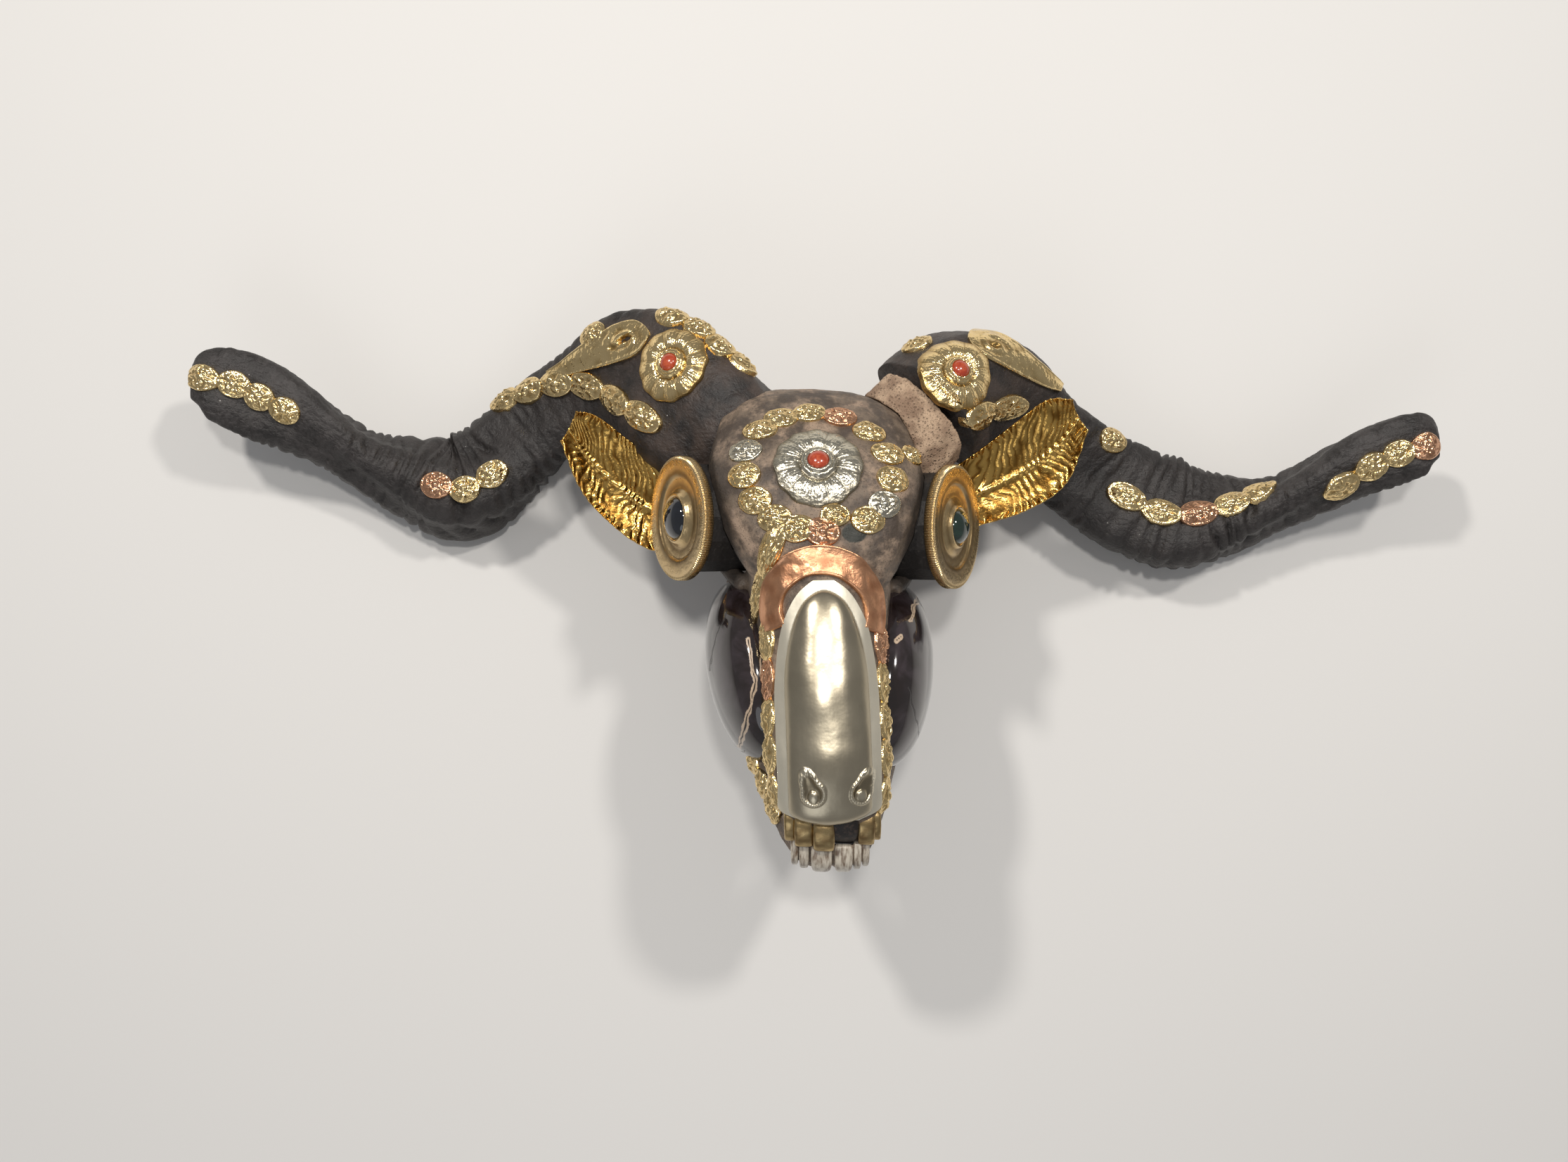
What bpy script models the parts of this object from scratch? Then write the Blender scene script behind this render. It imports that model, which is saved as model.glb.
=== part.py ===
"""A ram's skull with its horns, dressed with metal plates, medallions, ears and glass eyes.

It lies on the two corners of its lower jaw and on the backs of its horns, with the face turned up, so that
a viewer straight above sees the forehead and the nose. The part is drawn in millimetres, with +X to the
right, +Y towards the top of the view and +Z up from the floor, and is turned into metres at the end.
"""

import math

import bmesh
import bpy
import numpy as np
from mathutils import Matrix, Vector
from mathutils.bvhtree import BVHTree

METRES = 0.001
PART_NAME = "ram_skull"

# Driving sizes of the skull
SKULL_LENGTH = 242.5
FRONTAL_WIDTH = 126.0
FOREHEAD_HEIGHT = 106.5
PALATE_PITCH = math.radians(35.0)
ROLL = math.radians(1.7)
MUZZLE_LEAN = math.radians(2.6)
CONDYLE = Vector((16.5, 61.0, 42.5))

# Driving sizes of the mounts
ROSETTE_RADIUS = 25.0
HORN_ROSETTE_RADIUS = 22.5
RING_RADIUS = 42.0
RING_FRONT_RADIUS = 37.5
MEDALLION_LENGTH = 20.0
MEDALLION_WIDTH = 17.0
EYE_DISC_RADIUS = 36.0
EYE_CUP_RADIUS = 32.0
EYE_SPREAD = 80.5
PLATE_WIDTH = 55.0

# Space left where two pieces touch, and how deep a mount starts before it is cut to what carries it
GAP = 0.35
WELD = 0.02
GROW_TRIES = 60
GROW_LIMIT = 3.0
SUNK = 4.0
CAST_HEIGHT = 60.0

BONE = ((0.19, 0.14, 0.10), 0.0, 0.75)
HORN = ((0.03, 0.025, 0.022), 0.0, 0.6)
BRASS = ((0.58, 0.40, 0.13), 1.0, 0.3)
GOLD = ((0.62, 0.40, 0.08), 1.0, 0.22)
SILVER = ((0.55, 0.50, 0.40), 1.0, 0.25)
COPPER = ((0.62, 0.27, 0.15), 1.0, 0.35)
CORAL = ((0.40, 0.05, 0.02), 0.0, 0.3)
SHELL = ((0.035, 0.022, 0.018), 0.0, 0.15)
CUP = ((0.02, 0.018, 0.016), 0.0, 0.6)
GLASS = ((0.02, 0.03, 0.035), 0.0, 0.06)
CORE = ((0.45, 0.33, 0.22), 0.0, 0.9)


def clear_scene():
    for item in list(bpy.data.objects):
        bpy.data.objects.remove(item, do_unlink=True)


def new_collection(name):
    made = bpy.data.collections.new(name)
    bpy.context.scene.collection.children.link(made)
    return made


clear_scene()
PARTS = new_collection(PART_NAME)
CUTTERS = new_collection("cutters")
SETTLED = []


# Frames: the skull's own sides, front and top, as directions of the world
def turned_flat(vector, angle):
    return Matrix.Rotation(angle, 3, "Z") @ vector


SIDE = turned_flat(Vector((1.0, 0.0, -0.02)), -ROLL)
FRONT = turned_flat(Vector((0.0, -math.cos(PALATE_PITCH), math.sin(PALATE_PITCH))), MUZZLE_LEAN)
TOP = Vector((0.0, math.sin(PALATE_PITCH), math.cos(PALATE_PITCH)))
DOWN = Vector((0.0, 0.0, -1.0))


def skull_point(side, front, top):
    return CONDYLE + SIDE * side + FRONT * front + TOP * top


def skull_direction(side, front, top):
    return (SIDE * side + FRONT * front + TOP * top).normalized()


# Meshes
def mesh_object(name, points, faces):
    mesh = bpy.data.meshes.new(name)
    mesh.from_pydata([tuple(p) for p in points], [], faces)
    made = bpy.data.objects.new(name, mesh)
    PARTS.objects.link(made)
    face_outwards(made)
    return made


def face_outwards(item):
    work = bmesh.new()
    work.from_mesh(item.data)
    bmesh.ops.recalc_face_normals(work, faces=work.faces)
    if work.calc_volume(signed=True) < 0:
        bmesh.ops.reverse_faces(work, faces=work.faces)
    work.to_mesh(item.data)
    work.free()


def smooth_rows(rows, steps):
    """Rows of numbers, read at even steps along one smooth curve through them."""
    rows = np.asarray(rows, float)
    padded = np.vstack([2 * rows[0] - rows[1], rows, 2 * rows[-1] - rows[-2]])
    read = []
    for index in range(len(rows) - 1):
        before, start, end, after = padded[index:index + 4]
        for step in range(steps):
            t = step / steps
            read.append(start + 0.5 * t * (end - before + t * (2 * before - 5 * start + 4 * end - after
                        + t * (3 * (start - end) + after - before))))
    read.append(rows[-1])
    return np.array(read)


def loft(name, rings):
    """A closed skin over rings of points, with a fan at each end."""
    sides = len(rings[0])
    points = [p for ring in rings for p in ring]
    faces = []
    for row in range(len(rings) - 1):
        for k in range(sides):
            a, b = row * sides + k, row * sides + (k + 1) % sides
            faces.append((a, b, b + sides, a + sides))
    for ring, first in ((rings[0], 0), (rings[-1], (len(rings) - 1) * sides)):
        points.append(sum((Vector(p) for p in ring), Vector()) / sides)
        hub = len(points) - 1
        faces += [(hub, first + k, first + (k + 1) % sides) for k in range(sides)]
    return mesh_object(name, points, faces)


def rounded(angle, power):
    """A point of a rounded square of half size 1: power 2 is a circle, and more is squarer."""
    c, s = math.cos(angle), math.sin(angle)
    return (math.copysign(abs(c) ** (2 / power), c), math.copysign(abs(s) ** (2 / power), s))


def sweep(name, rows, sides, shape=None):
    """A limb along a path. Each row holds a centre, a half width level with the floor and a half depth."""
    rings = []
    centres = [Vector(row[:3]) for row in rows]
    for index, row in enumerate(rows):
        ahead = centres[min(index + 1, len(rows) - 1)] - centres[max(index - 1, 0)]
        ahead.normalize()
        wide = ahead.cross(Vector((0, 0, 1))).normalized()
        deep = wide.cross(ahead).normalized()
        ring = []
        for k in range(sides):
            angle = 2 * math.pi * k / sides
            swell = shape(index / (len(rows) - 1), angle) if shape else 1.0
            x, y = rounded(angle, 2.2)
            ring.append(centres[index] + wide * (row[3] * x * swell) + deep * (row[4] * y * swell))
        rings.append(ring)
    return loft(name, rings)


def ball(name, centre, radii, around=10, rows=6):
    """An ellipsoid with its axes along the skull's side, front and top."""
    work = bmesh.new()
    bmesh.ops.create_uvsphere(work, u_segments=around, v_segments=rows, radius=1.0)
    for vert in work.verts:
        x, y, z = vert.co
        vert.co = centre + SIDE * (x * radii[0]) + FRONT * (y * radii[1]) + TOP * (z * radii[2])
    mesh = bpy.data.meshes.new(name)
    work.to_mesh(mesh)
    work.free()
    made = bpy.data.objects.new(name, mesh)
    PARTS.objects.link(made)
    face_outwards(made)
    return made


def turned(name, profile, centre, axis, steps):
    """A turned piece: pairs of radius and height, from the middle of its front round to its back."""
    mesh = bpy.data.meshes.new(name)
    edges = [(k, k + 1) for k in range(len(profile) - 1)]
    mesh.from_pydata([(radius, 0.0, height) for radius, height in profile], edges, [])
    made = bpy.data.objects.new(name, mesh)
    PARTS.objects.link(made)
    screw = made.modifiers.new("turn", "SCREW")
    screw.steps = steps
    screw.render_steps = steps
    screw.use_merge_vertices = True
    screw.merge_threshold = 0.0001
    bake(made)
    spin = Vector((0, 0, 1)).rotation_difference(axis).to_matrix().to_4x4()
    made.data.transform(Matrix.Translation(centre) @ spin)
    face_outwards(made)
    return made


# Fitting one piece to another
def bake(item):
    """Applies an object's modifiers."""
    graph = bpy.context.evaluated_depsgraph_get()
    mesh = bpy.data.meshes.new_from_object(item.evaluated_get(graph))
    item.modifiers.clear()
    item.data = mesh


def keep_largest(item):
    """Keeps the largest closed surface of a piece, and drops loose scraps and slivers."""
    work = bmesh.new()
    work.from_mesh(item.data)
    bmesh.ops.remove_doubles(work, verts=work.verts, dist=WELD)
    bmesh.ops.dissolve_degenerate(work, edges=work.edges, dist=WELD)
    bmesh.ops.triangulate(work, faces=work.faces)
    work.normal_update()
    left = set(work.verts)
    islands = []
    while left:
        island, edge = set(), [left.pop()]
        while edge:
            vert = edge.pop()
            island.add(vert)
            for link in vert.link_edges:
                other = link.other_vert(vert)
                if other in left:
                    left.discard(other)
                    edge.append(other)
        islands.append(island)

    def volume(island):
        faces = {face for vert in island for face in vert.link_faces}
        return abs(sum(face.normal.dot(face.verts[0].co) * face.calc_area() for face in faces))

    islands.sort(key=volume, reverse=True)
    loose = [v for island in islands[1:] for v in island]
    bmesh.ops.delete(work, geom=loose, context="VERTS")
    work.to_mesh(item.data)
    work.free()


def grown(item, by=GAP):
    """A copy of a piece with its skin moved outwards, kept among the cutters."""
    work = bmesh.new()
    work.from_mesh(item.data)
    work.normal_update()
    shifts = []
    for vert in work.verts:
        shift = vert.normal * by
        for _ in range(GROW_TRIES):
            lacks = [(by - face.normal.dot(shift), face.normal) for face in vert.link_faces]
            lack, normal = max(lacks, key=lambda pair: pair[0])
            if lack < 0.01 * by:
                break
            shift += normal * lack
        shifts.append(shift * min(1.0, GROW_LIMIT * by / shift.length))
    for vert, shift in zip(work.verts, shifts):
        vert.co += shift
    mesh = bpy.data.meshes.new(item.name + "_cutter")
    work.to_mesh(mesh)
    work.free()
    cutter = bpy.data.objects.new(mesh.name, mesh)
    cutter.hide_render = True
    cutter.display_type = "WIRE"
    CUTTERS.objects.link(cutter)
    return cutter


def carve(item, *others):
    """Cuts a piece back from its neighbours, so that it meets them face to face."""
    for other in others:
        cut = item.modifiers.new("fit", "BOOLEAN")
        cut.operation = "DIFFERENCE"
        cut.object = other
        bake(item)
    keep_largest(item)
    return item


def box_of(item):
    corners = np.array([v.co for v in item.data.vertices])
    return corners.min(axis=0), corners.max(axis=0)


def settle(item, look, cutter=None):
    """Cuts a new piece back from all that stands before it, and keeps a cutter of its whole shape."""
    keep_largest(item)
    cutter = cutter or grown(item)
    low, high = box_of(cutter)
    near = [other for first, last, other in SETTLED if (low < last).all() and (first < high).all()]
    finish(carve(item, *near), look)
    SETTLED.append((low, high, cutter))
    return item


def fuse(pieces):
    """Joins pieces into the first of them, and their grown copies into one cutter."""
    for piece in pieces:
        keep_largest(piece)
    cutters = [grown(piece) for piece in pieces]
    for group in (pieces, cutters):
        if len(group) > 1:
            join(group[0], group[1:])
    return pieces[0], cutters[0]


def join(item, pieces):
    """Joins pieces to an object with one Boolean union on their collection."""
    group = new_collection(item.name + "_pieces")
    for piece in pieces:
        for home in piece.users_collection:
            home.objects.unlink(piece)
        group.objects.link(piece)
    union = item.modifiers.new("join", "BOOLEAN")
    union.operation = "UNION"
    union.operand_type = "COLLECTION"
    union.collection = group
    bake(item)
    for piece in pieces:
        bpy.data.objects.remove(piece, do_unlink=True)
    bpy.data.collections.remove(group)
    keep_largest(item)
    return item


def surface(item):
    """The skin of a piece, ready to be hit by rays."""
    corners = [v.co for v in item.data.vertices]
    return BVHTree.FromPolygons(corners, [tuple(p.vertices) for p in item.data.polygons])


def drop(skin, point, direction):
    """Where a line from outside, through a point, first meets a skin."""
    place, normal, _, _ = skin.ray_cast(point - direction * CAST_HEIGHT, direction)
    return place, normal


def finish(item, look):
    colour, metal, rough = look
    material = bpy.data.materials.new(item.name)
    material.use_nodes = True
    shader = material.node_tree.nodes["Principled BSDF"]
    shader.inputs["Base Color"].default_value = (*colour, 1.0)
    shader.inputs["Metallic"].default_value = metal
    shader.inputs["Roughness"].default_value = rough
    item.data.materials.clear()
    item.data.materials.append(material)
    item.data.shade_smooth()
    item.data.set_sharp_from_angle(angle=math.radians(40))


# The skull: face and braincase, a broad frontal roof, cheek arches and the joint with the neck.
# Each station gives front, half width, top, level of the widest line, and bottom.
FACE_STATIONS = [
    (-20, 15, 46, 26, 0), (-13, 33, 70, 34, -10), (2, 38, 86, 38, -14), (36, 38, 98, 41, -6),
    (72, 41, 101, 44, 4), (100, 42, 96, 41, 5), (126, 39.5, 85, 34, 2), (154, 36, 71.5, 27, 0),
    (180, 34.5, 58.5, 21, -1), (206, 33.5, 44.5, 15, -3), (224, 31, 32, 10, -4), (234, 27, 20, 5, -5),
    (240, 20.5, 9, 1, -6), (SKULL_LENGTH, 12, 2, -2, -6)]
ROOF_STATIONS = [
    (-12, 20, 74, 62, 50), (-4, 40, 88, 70, 48), (12, 54, 98, 74, 48), (34, 60, 103.5, 77, 50),
    (56, FRONTAL_WIDTH / 2, FOREHEAD_HEIGHT, 79, 51), (76, 60, 106, 78, 50), (94, 53, 100, 72, 46),
    (108, 45, 94, 66, 44), (120, 36, 87, 60, 46)]


def skull_loft(name, stations, steps, sides, power):
    rings = []
    for front, half, high, level, low in smooth_rows(stations, steps):
        ring = []
        for k in range(sides):
            x, y = rounded(2 * math.pi * k / sides, power)
            reach = high - level if y > 0 else level - low
            ring.append(skull_point(half * x, front, level + reach * y))
        rings.append(ring)
    return loft(name, rings)


def arch(name, side):
    """A cheek arch, from the ear region to below the eye."""
    path = [(36, 14, 26), (52, 34, 22), (57, 60, 24), (55, 84, 30), (42, 106, 34)]
    rows = [(*skull_point(side * x, y, z), 5.5, 6.5) for x, y, z in path]
    return sweep(name, smooth_rows(rows, 2), 8)


def make_skull():
    pieces = [skull_loft("skull", FACE_STATIONS, 2, 18, 2.3), skull_loft("roof", ROOF_STATIONS, 2, 16, 2.6)]
    for side in (-1, 1):
        pieces.append(arch("arch", side))
        pieces.append(ball("neck_knuckle", skull_point(side * 13, -19, 3), (10, 9, 14)))
        pieces.append(ball("ear_hook", skull_point(side * 30, -6, -8), (6, 8, 18)))
    skull, cutter = fuse(pieces)
    hole = ball("neck_hole", skull_point(0, -26, 5), (8, 16, 9))
    carve(skull, hole)
    bpy.data.objects.remove(hole, do_unlink=True)
    return settle(skull, BONE, cutter)


# The lower jaw: front, centre height, half height, side and half thickness of each half.
JAW_STATIONS = [
    (248, -30.7, 7, 6.4, 5.7), (243, -30.2, 10, 9.7, 10.4), (233, -29.5, 12, 16.5, 10.5),
    (214, -29, 13, 24.5, 9.5), (190, -31, 16, 32.5, 8.5), (160, -36, 20, 41, 8), (128, -43, 24, 47, 7),
    (96, -51, 29, 50, 6.5), (66, -59, 31, 52, 6), (46, -63, 24, 52, 5), (36, -62, 12, 52, 3)]
RAMUS_STATIONS = [(58, -52, 17), (48, -30, 15), (40, -10, 13), (34, 4, 9), (31, 11, 6)]
INCISORS = [(-19.8, 2.2), (-14.6, 2.9), (-5.0, 6.0), (7.4, 5.3), (15.2, 2.3), (20.1, 2.1)]


def blade(name, path, across, sides=6):
    """A tooth: rows of front, top, half width and half thickness, from its root to its edge."""
    rings = []
    for index, (front, top, half, thick) in enumerate(path):
        ahead = path[min(index + 1, len(path) - 1)]
        behind = path[max(index - 1, 0)]
        run, rise = ahead[0] - behind[0], ahead[1] - behind[1]
        length = math.hypot(run, rise)
        ring = []
        for k in range(sides):
            x, y = rounded(2 * math.pi * (k + 0.5) / sides, 3.0)
            ring.append(skull_point(across + half * x, front - thick * y * rise / length,
                                    top + thick * y * run / length))
        rings.append(ring)
    return loft(name, rings)


def jaw_half(name, side):
    rings = []
    for front, centre, high, across, thick in smooth_rows(JAW_STATIONS, 2):
        ring = []
        for k in range(8):
            x, y = rounded(2 * math.pi * k / 8, 2.4)
            point = skull_point(side * across + thick * x, front, centre + high * y)
            point.z = max(point.z, 0.0)
            ring.append(point)
        rings.append(ring)
    return loft(name, rings)


def jaw_ramus(name, side):
    rings = []
    for front, top, half in smooth_rows(RAMUS_STATIONS, 2):
        ring = []
        for k in range(8):
            x, y = rounded(2 * math.pi * k / 8, 2.2)
            ring.append(skull_point(side * 50 + 4.5 * x, front + half * y, top + 0.3 * half * y))
        rings.append(ring)
    return loft(name, rings)


def incisor(across, half):
    """One lower front tooth, a flat blade that stands out of the jaw and meets the upper teeth."""
    back = 0.011 * across * across
    path = [(246.5 - back, -33.5, half * 0.8, 3.2), (251.2 - back, -22.5, half, 3.0),
            (247.0 - back, -9.4, half * 0.95, 1.6)]
    return blade("incisor", path, across)


def make_mandible():
    pieces = [jaw_half("mandible", -1), jaw_half("jaw_right", 1)]
    pieces += [jaw_ramus("ramus", side) for side in (-1, 1)]
    pieces.append(ball("chin", skull_point(0, 229, -28), (17, 17, 9)))
    pieces += [incisor(across, half) for across, half in INCISORS]
    jaw, cutter = fuse(pieces)
    return settle(jaw, BONE, cutter)


# The horns. Each row gives the centre, the half width level with the floor and the half depth. They leave
# the skull sideways, sink to the floor and rise again towards blunt tips, turning as they go.
LEFT_HORN = [
    (-8, 66, 96, 20, 14), (-28, 82, 100, 38, 24), (-46, 101, 96, 41, 27), (-70, 122, 82, 42, 27),
    (-95, 129, 63, 38, 27), (-123, 121, 43, 28, 26), (-158, 99, 27, 28, 27), (-187, 73, 25, 31, 26),
    (-213, 60, 25, 34, 26), (-243, 68, 26, 27, 24), (-272, 80, 32, 18.5, 21), (-293, 94, 41, 18, 19),
    (-317, 109, 49, 22.5, 17), (-340, 119, 55, 24, 15), (-361, 124, 59, 21, 14), (-373, 124, 60, 10, 7)]
RIGHT_HORN = [
    (46, 64, 96, 20, 14), (64, 79, 100, 37, 24), (84, 100, 96, 38, 27), (107, 118, 82, 39, 27),
    (133, 118, 63, 36, 27), (161, 99, 43, 28, 26), (194, 72, 27, 31, 27), (225, 51, 25, 34, 26),
    (255, 40, 25, 36, 26), (287, 42, 26, 27, 24), (315, 49, 32, 17.5, 21), (339, 60, 41, 17, 19),
    (362, 74, 49, 18.5, 17), (384, 82, 55, 19.5, 15), (402, 86, 59, 18, 14), (412, 86, 60, 9, 7)]
HORN_STEPS = 2
HORN_SIDES = 14
CORE_SIDES = 11
HORN_TURN = math.radians(200)
RIGHT_HORN_START = 2.2


def horn_shape(start_angle, turn):
    """The blunt keels of a ram's horn, which wind round it."""
    def shape(along, angle):
        return 1.0 + 0.09 * math.cos(3 * (angle - start_angle - turn * along))
    return shape


def rest_on_floor(item):
    """Flattens what would reach below the floor."""
    for vert in item.data.vertices:
        vert.co.z = max(vert.co.z, 0.0)


def make_horn(name, rows, turn):
    horn = sweep(name, rows, HORN_SIDES, horn_shape(math.radians(90), turn))
    rest_on_floor(horn)
    return settle(horn, HORN)


def make_horns():
    left = make_horn("horn_left", smooth_rows(LEFT_HORN, HORN_STEPS), -HORN_TURN)
    rows = smooth_rows(RIGHT_HORN, HORN_STEPS)
    first = round(RIGHT_HORN_START * HORN_STEPS)
    right = make_horn("horn_right", rows[first:], HORN_TURN)
    core_rows = rows[:first + 2].copy()
    core_rows[:, 3:] *= 0.9
    settle(sweep("horn_core_right", core_rows, CORE_SIDES), CORE)
    return left, right


# The eyes: a dark cup on each side of the forehead, a stepped disc on it, and a glass bead.
EYE_FRONT = 75.0
EYE_TOP = 60.0
LEFT_EYE_TILT = math.radians(30.0)
RIGHT_EYE_TILT = math.radians(28.5)
CUP_DEPTH = 40.0
DISC_THICKNESS = 5.0


def make_eye(side):
    name = "left" if side < 0 else "right"
    tilt = LEFT_EYE_TILT if side < 0 else RIGHT_EYE_TILT
    axis = Vector((side * math.cos(tilt), -0.02, math.sin(tilt))).normalized()
    centre = skull_point(side * EYE_SPREAD, EYE_FRONT, EYE_TOP)
    radius = EYE_DISC_RADIUS
    profile = [(0, 0.6), (0.45 * radius, 0.6), (0.48 * radius, -0.4), (0.70 * radius, -0.2),
               (0.88 * radius, 2.2), (radius, 1.4), (radius, -DISC_THICKNESS + 1), (0, -DISC_THICKNESS + 1)]
    settle(turned("eye_disc_" + name, profile, centre, axis, 16), BRASS)
    back = -DISC_THICKNESS + 1 - GAP
    profile = [(0, back), (EYE_CUP_RADIUS, back), (EYE_CUP_RADIUS, -CUP_DEPTH), (0, -CUP_DEPTH)]
    settle(turned("eye_cup_" + name, profile, centre, axis, 14), CUP)
    bead_radius = 12.5 if side < 0 else 10.5
    dome = [(bead_radius * math.cos(t), 0.6 + GAP + 7.5 * math.sin(t))
            for t in (math.radians(a) for a in (90, 60, 30, 0))]
    dome[0] = (0, dome[0][1])
    settle(turned("eye_bead_" + name, dome + [(0, 0.6 + GAP)], centre, axis, 10), GLASS)


# The ears: leaf shaped sheets of metal that leave the cups below the discs. Each pair of rows gives the
# upper and the lower edge from the root to the tip.
EAR_LEFT_UPPER = [(-56, 60, 104), (-76, 72, 97), (-95, 86, 100), (-113, 99, 108), (-124, 101, 115)]
EAR_LEFT_LOWER = [(-58, 14, 102), (-84, 20, 92), (-106, 35, 92), (-123, 55, 97), (-134, 84, 108)]
EAR_RIGHT_UPPER = [(92, 62, 104), (114, 76, 98), (138, 94, 102), (157, 108, 110), (172, 108, 115)]
EAR_RIGHT_LOWER = [(96, 26, 102), (120, 34, 92), (148, 43, 93), (171, 59, 99), (182, 90, 110)]
EAR_DISH = 7.0
EAR_THICKNESS = 1.2


def make_ear(name, upper, lower):
    upper, lower = smooth_rows(upper, 2), smooth_rows(lower, 2)
    across = 6
    points = []
    for high, low in zip(upper, lower):
        for k in range(across):
            t = k / (across - 1)
            place = high + (low - high) * t
            points.append((place[0], place[1], place[2] - EAR_DISH * 4 * t * (1 - t)))
    faces = []
    for row in range(len(upper) - 1):
        for k in range(across - 1):
            a = row * across + k
            faces.append((a, a + 1, a + across + 1, a + across))
    mesh = bpy.data.meshes.new(name)
    mesh.from_pydata(points, [], faces)
    ear = bpy.data.objects.new(name, mesh)
    PARTS.objects.link(ear)
    shell = ear.modifiers.new("sheet", "SOLIDIFY")
    shell.thickness = EAR_THICKNESS
    shell.offset = 0.0
    bake(ear)
    face_outwards(ear)
    settle(ear, GOLD)


# Plates that are laid on the bone or the horn. They start below its surface and are cut to it.
def laid_disc(name, skin, point, direction, half_length, half_width, heights, sides,
              turn=0.0, lobes=0, along=None):
    """A round plate on a skin. The heights pair a share of the radius with a height, from rim to middle."""
    place, normal = drop(skin, point, direction)
    first = (along or Vector((1, 0, 0))) - normal * normal.dot(along or Vector((1, 0, 0)))
    first.normalize()
    first = Matrix.Rotation(turn, 3, normal) @ first
    second = normal.cross(first)

    def spot(share, angle, height):
        swell = 1.0 + (0.045 * math.cos(lobes * angle) if lobes else 0.0)
        flat = place + first * (half_length * share * swell * math.cos(angle))
        flat += second * (half_width * share * swell * math.sin(angle))
        hit, _ = drop(skin, flat, -normal)
        base = hit if hit is not None and (hit - flat).length < 14 else flat - normal * 5
        return base + normal * height

    angles = [2 * math.pi * k / sides for k in range(sides)]
    rings = [[spot(1.0, a, -SUNK) for a in angles]]
    rings += [[spot(share, a, height) for a in angles] for share, height in heights]
    return loft(name, rings), place, normal


def laid_strip(name, skin, rows, half_widths, direction_at, across, height_at):
    """A strip on a skin, along rows of points, with its top raised by a height from along and across."""
    count = len(rows)
    tops, feet = [], []
    for index in range(count):
        here = Vector(rows[index])
        ahead = Vector(rows[min(index + 1, count - 1)]) - Vector(rows[max(index - 1, 0)])
        direction = direction_at(index / (count - 1))
        sideways = direction.cross(ahead).normalized()
        for k in range(across):
            v = 2 * k / (across - 1) - 1
            flat = here + sideways * (half_widths[index] * v)
            base, normal = drop(skin, flat, direction)
            if base is None:
                base, normal, _, _ = skin.find_nearest(flat)
            lift = (normal * 0.6 - direction * 0.4).normalized()
            tops.append(base + lift * height_at(index / (count - 1), v))
            feet.append(base - lift * SUNK)
    points = tops + feet
    under = len(tops)
    faces = []
    for row in range(count - 1):
        for k in range(across - 1):
            a = row * across + k
            faces.append((a, a + 1, a + across + 1, a + across))
            faces.append((under + a, under + a + across, under + a + across + 1, under + a + 1))
    rim = [k for k in range(across)]
    rim += [row * across + across - 1 for row in range(1, count)]
    rim += [(count - 1) * across + k for k in range(across - 2, -1, -1)]
    rim += [row * across for row in range(count - 2, 0, -1)]
    for a, b in zip(rim, rim[1:] + rim[:1]):
        faces.append((a, b, under + b, under + a))
    return mesh_object(name, points, faces)


# The silver plate over the nose, with a raised middle, and the copper collar above it
PLATE_LINE = [(131, 74), (148, 65), (169, 54), (190, 43), (210, 32), (226, 20), (235.5, 8.5), (239, 1)]
PLATE_TURNS = (27.0, 30.0, 60.0)
PLATE_ARCH = 0.42
PLATE_BORDER_HEIGHT = 3.0
DOME_HEIGHT = 7.0
DOME_ACROSS = 0.80
DOME_UP = 0.88
COLLAR_LINE = [(-32, 154), (-31, 141), (-25.5, 130), (-14, 124), (0, 122.5), (14, 124), (25.5, 130),
               (31, 141), (32, 154)]
COLLAR_TILT = math.radians(42)
COLLAR_HEIGHT = 3.2


def plate_top(along):
    """How far up the round top of the plate, from 0 at its foot to 1 at its edge."""
    return max(0.0, 1 - along / PLATE_ARCH)


def plate_direction(along):
    """Into the nose: nearly level at the top of the plate, and turned down over its end."""
    low, middle, end = PLATE_TURNS
    angle = low + (middle - low) * along if along < 0.62 else middle + (end - middle) * (along - 0.62) / 0.38
    return -skull_direction(0, math.sin(math.radians(angle)), math.cos(math.radians(angle)))


def make_nose_plate(skin):
    centres = smooth_rows(PLATE_LINE, 2)
    rows = [skull_point(0, front, top + 8) for front, top in centres]
    count = len(rows)
    halves = []
    for index in range(count):
        along = index / (count - 1)
        top_share = math.sqrt(1 - plate_top(along) ** 2)
        end_share = math.sqrt(1 - max(0.0, (along - 0.86) / 0.14) ** 2.6)
        halves.append(PLATE_WIDTH / 2 * max(0.25, top_share) * max(0.62, end_share))

    def height(along, across):
        up = plate_top(along)
        out = across * math.sqrt(1 - up * up) / DOME_ACROSS
        low = max(0.0, (along - 0.8) / 0.2)
        return PLATE_BORDER_HEIGHT + DOME_HEIGHT * math.sqrt(max(0.0, 1 - out * out - (up / DOME_UP) ** 2)
                                                             * (1 - 0.8 * low * low))

    settle(laid_strip("nose_plate", skin, rows, halves, plate_direction, 7, height), SILVER)


def make_collar(skin):
    line = smooth_rows(COLLAR_LINE, 2)
    rows = [skull_point(x, front, 90 - 0.022 * x * x) for x, front in line]
    halves = [8.0] * len(rows)

    def into(along):
        tilt = COLLAR_TILT * (2 * along - 1)
        return -skull_direction(math.sin(tilt), 0.35, math.cos(tilt))

    settle(laid_strip("nose_collar", skin, rows, halves, into, 4, lambda along, v: COLLAR_HEIGHT), COPPER)


# Cheek shells: thick glossy shells at both sides of the muzzle, against the upper and the lower jaw
SHELL_CENTRE = (41.0, 137.0, -6.0)
SHELL_RADII = (26.0, 57.0, 50.0)
SHELL_LEAN = math.radians(9.0)
SHELL_THICKNESS = 5.0
SHELL_INNER_SIDE = 29.0


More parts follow.
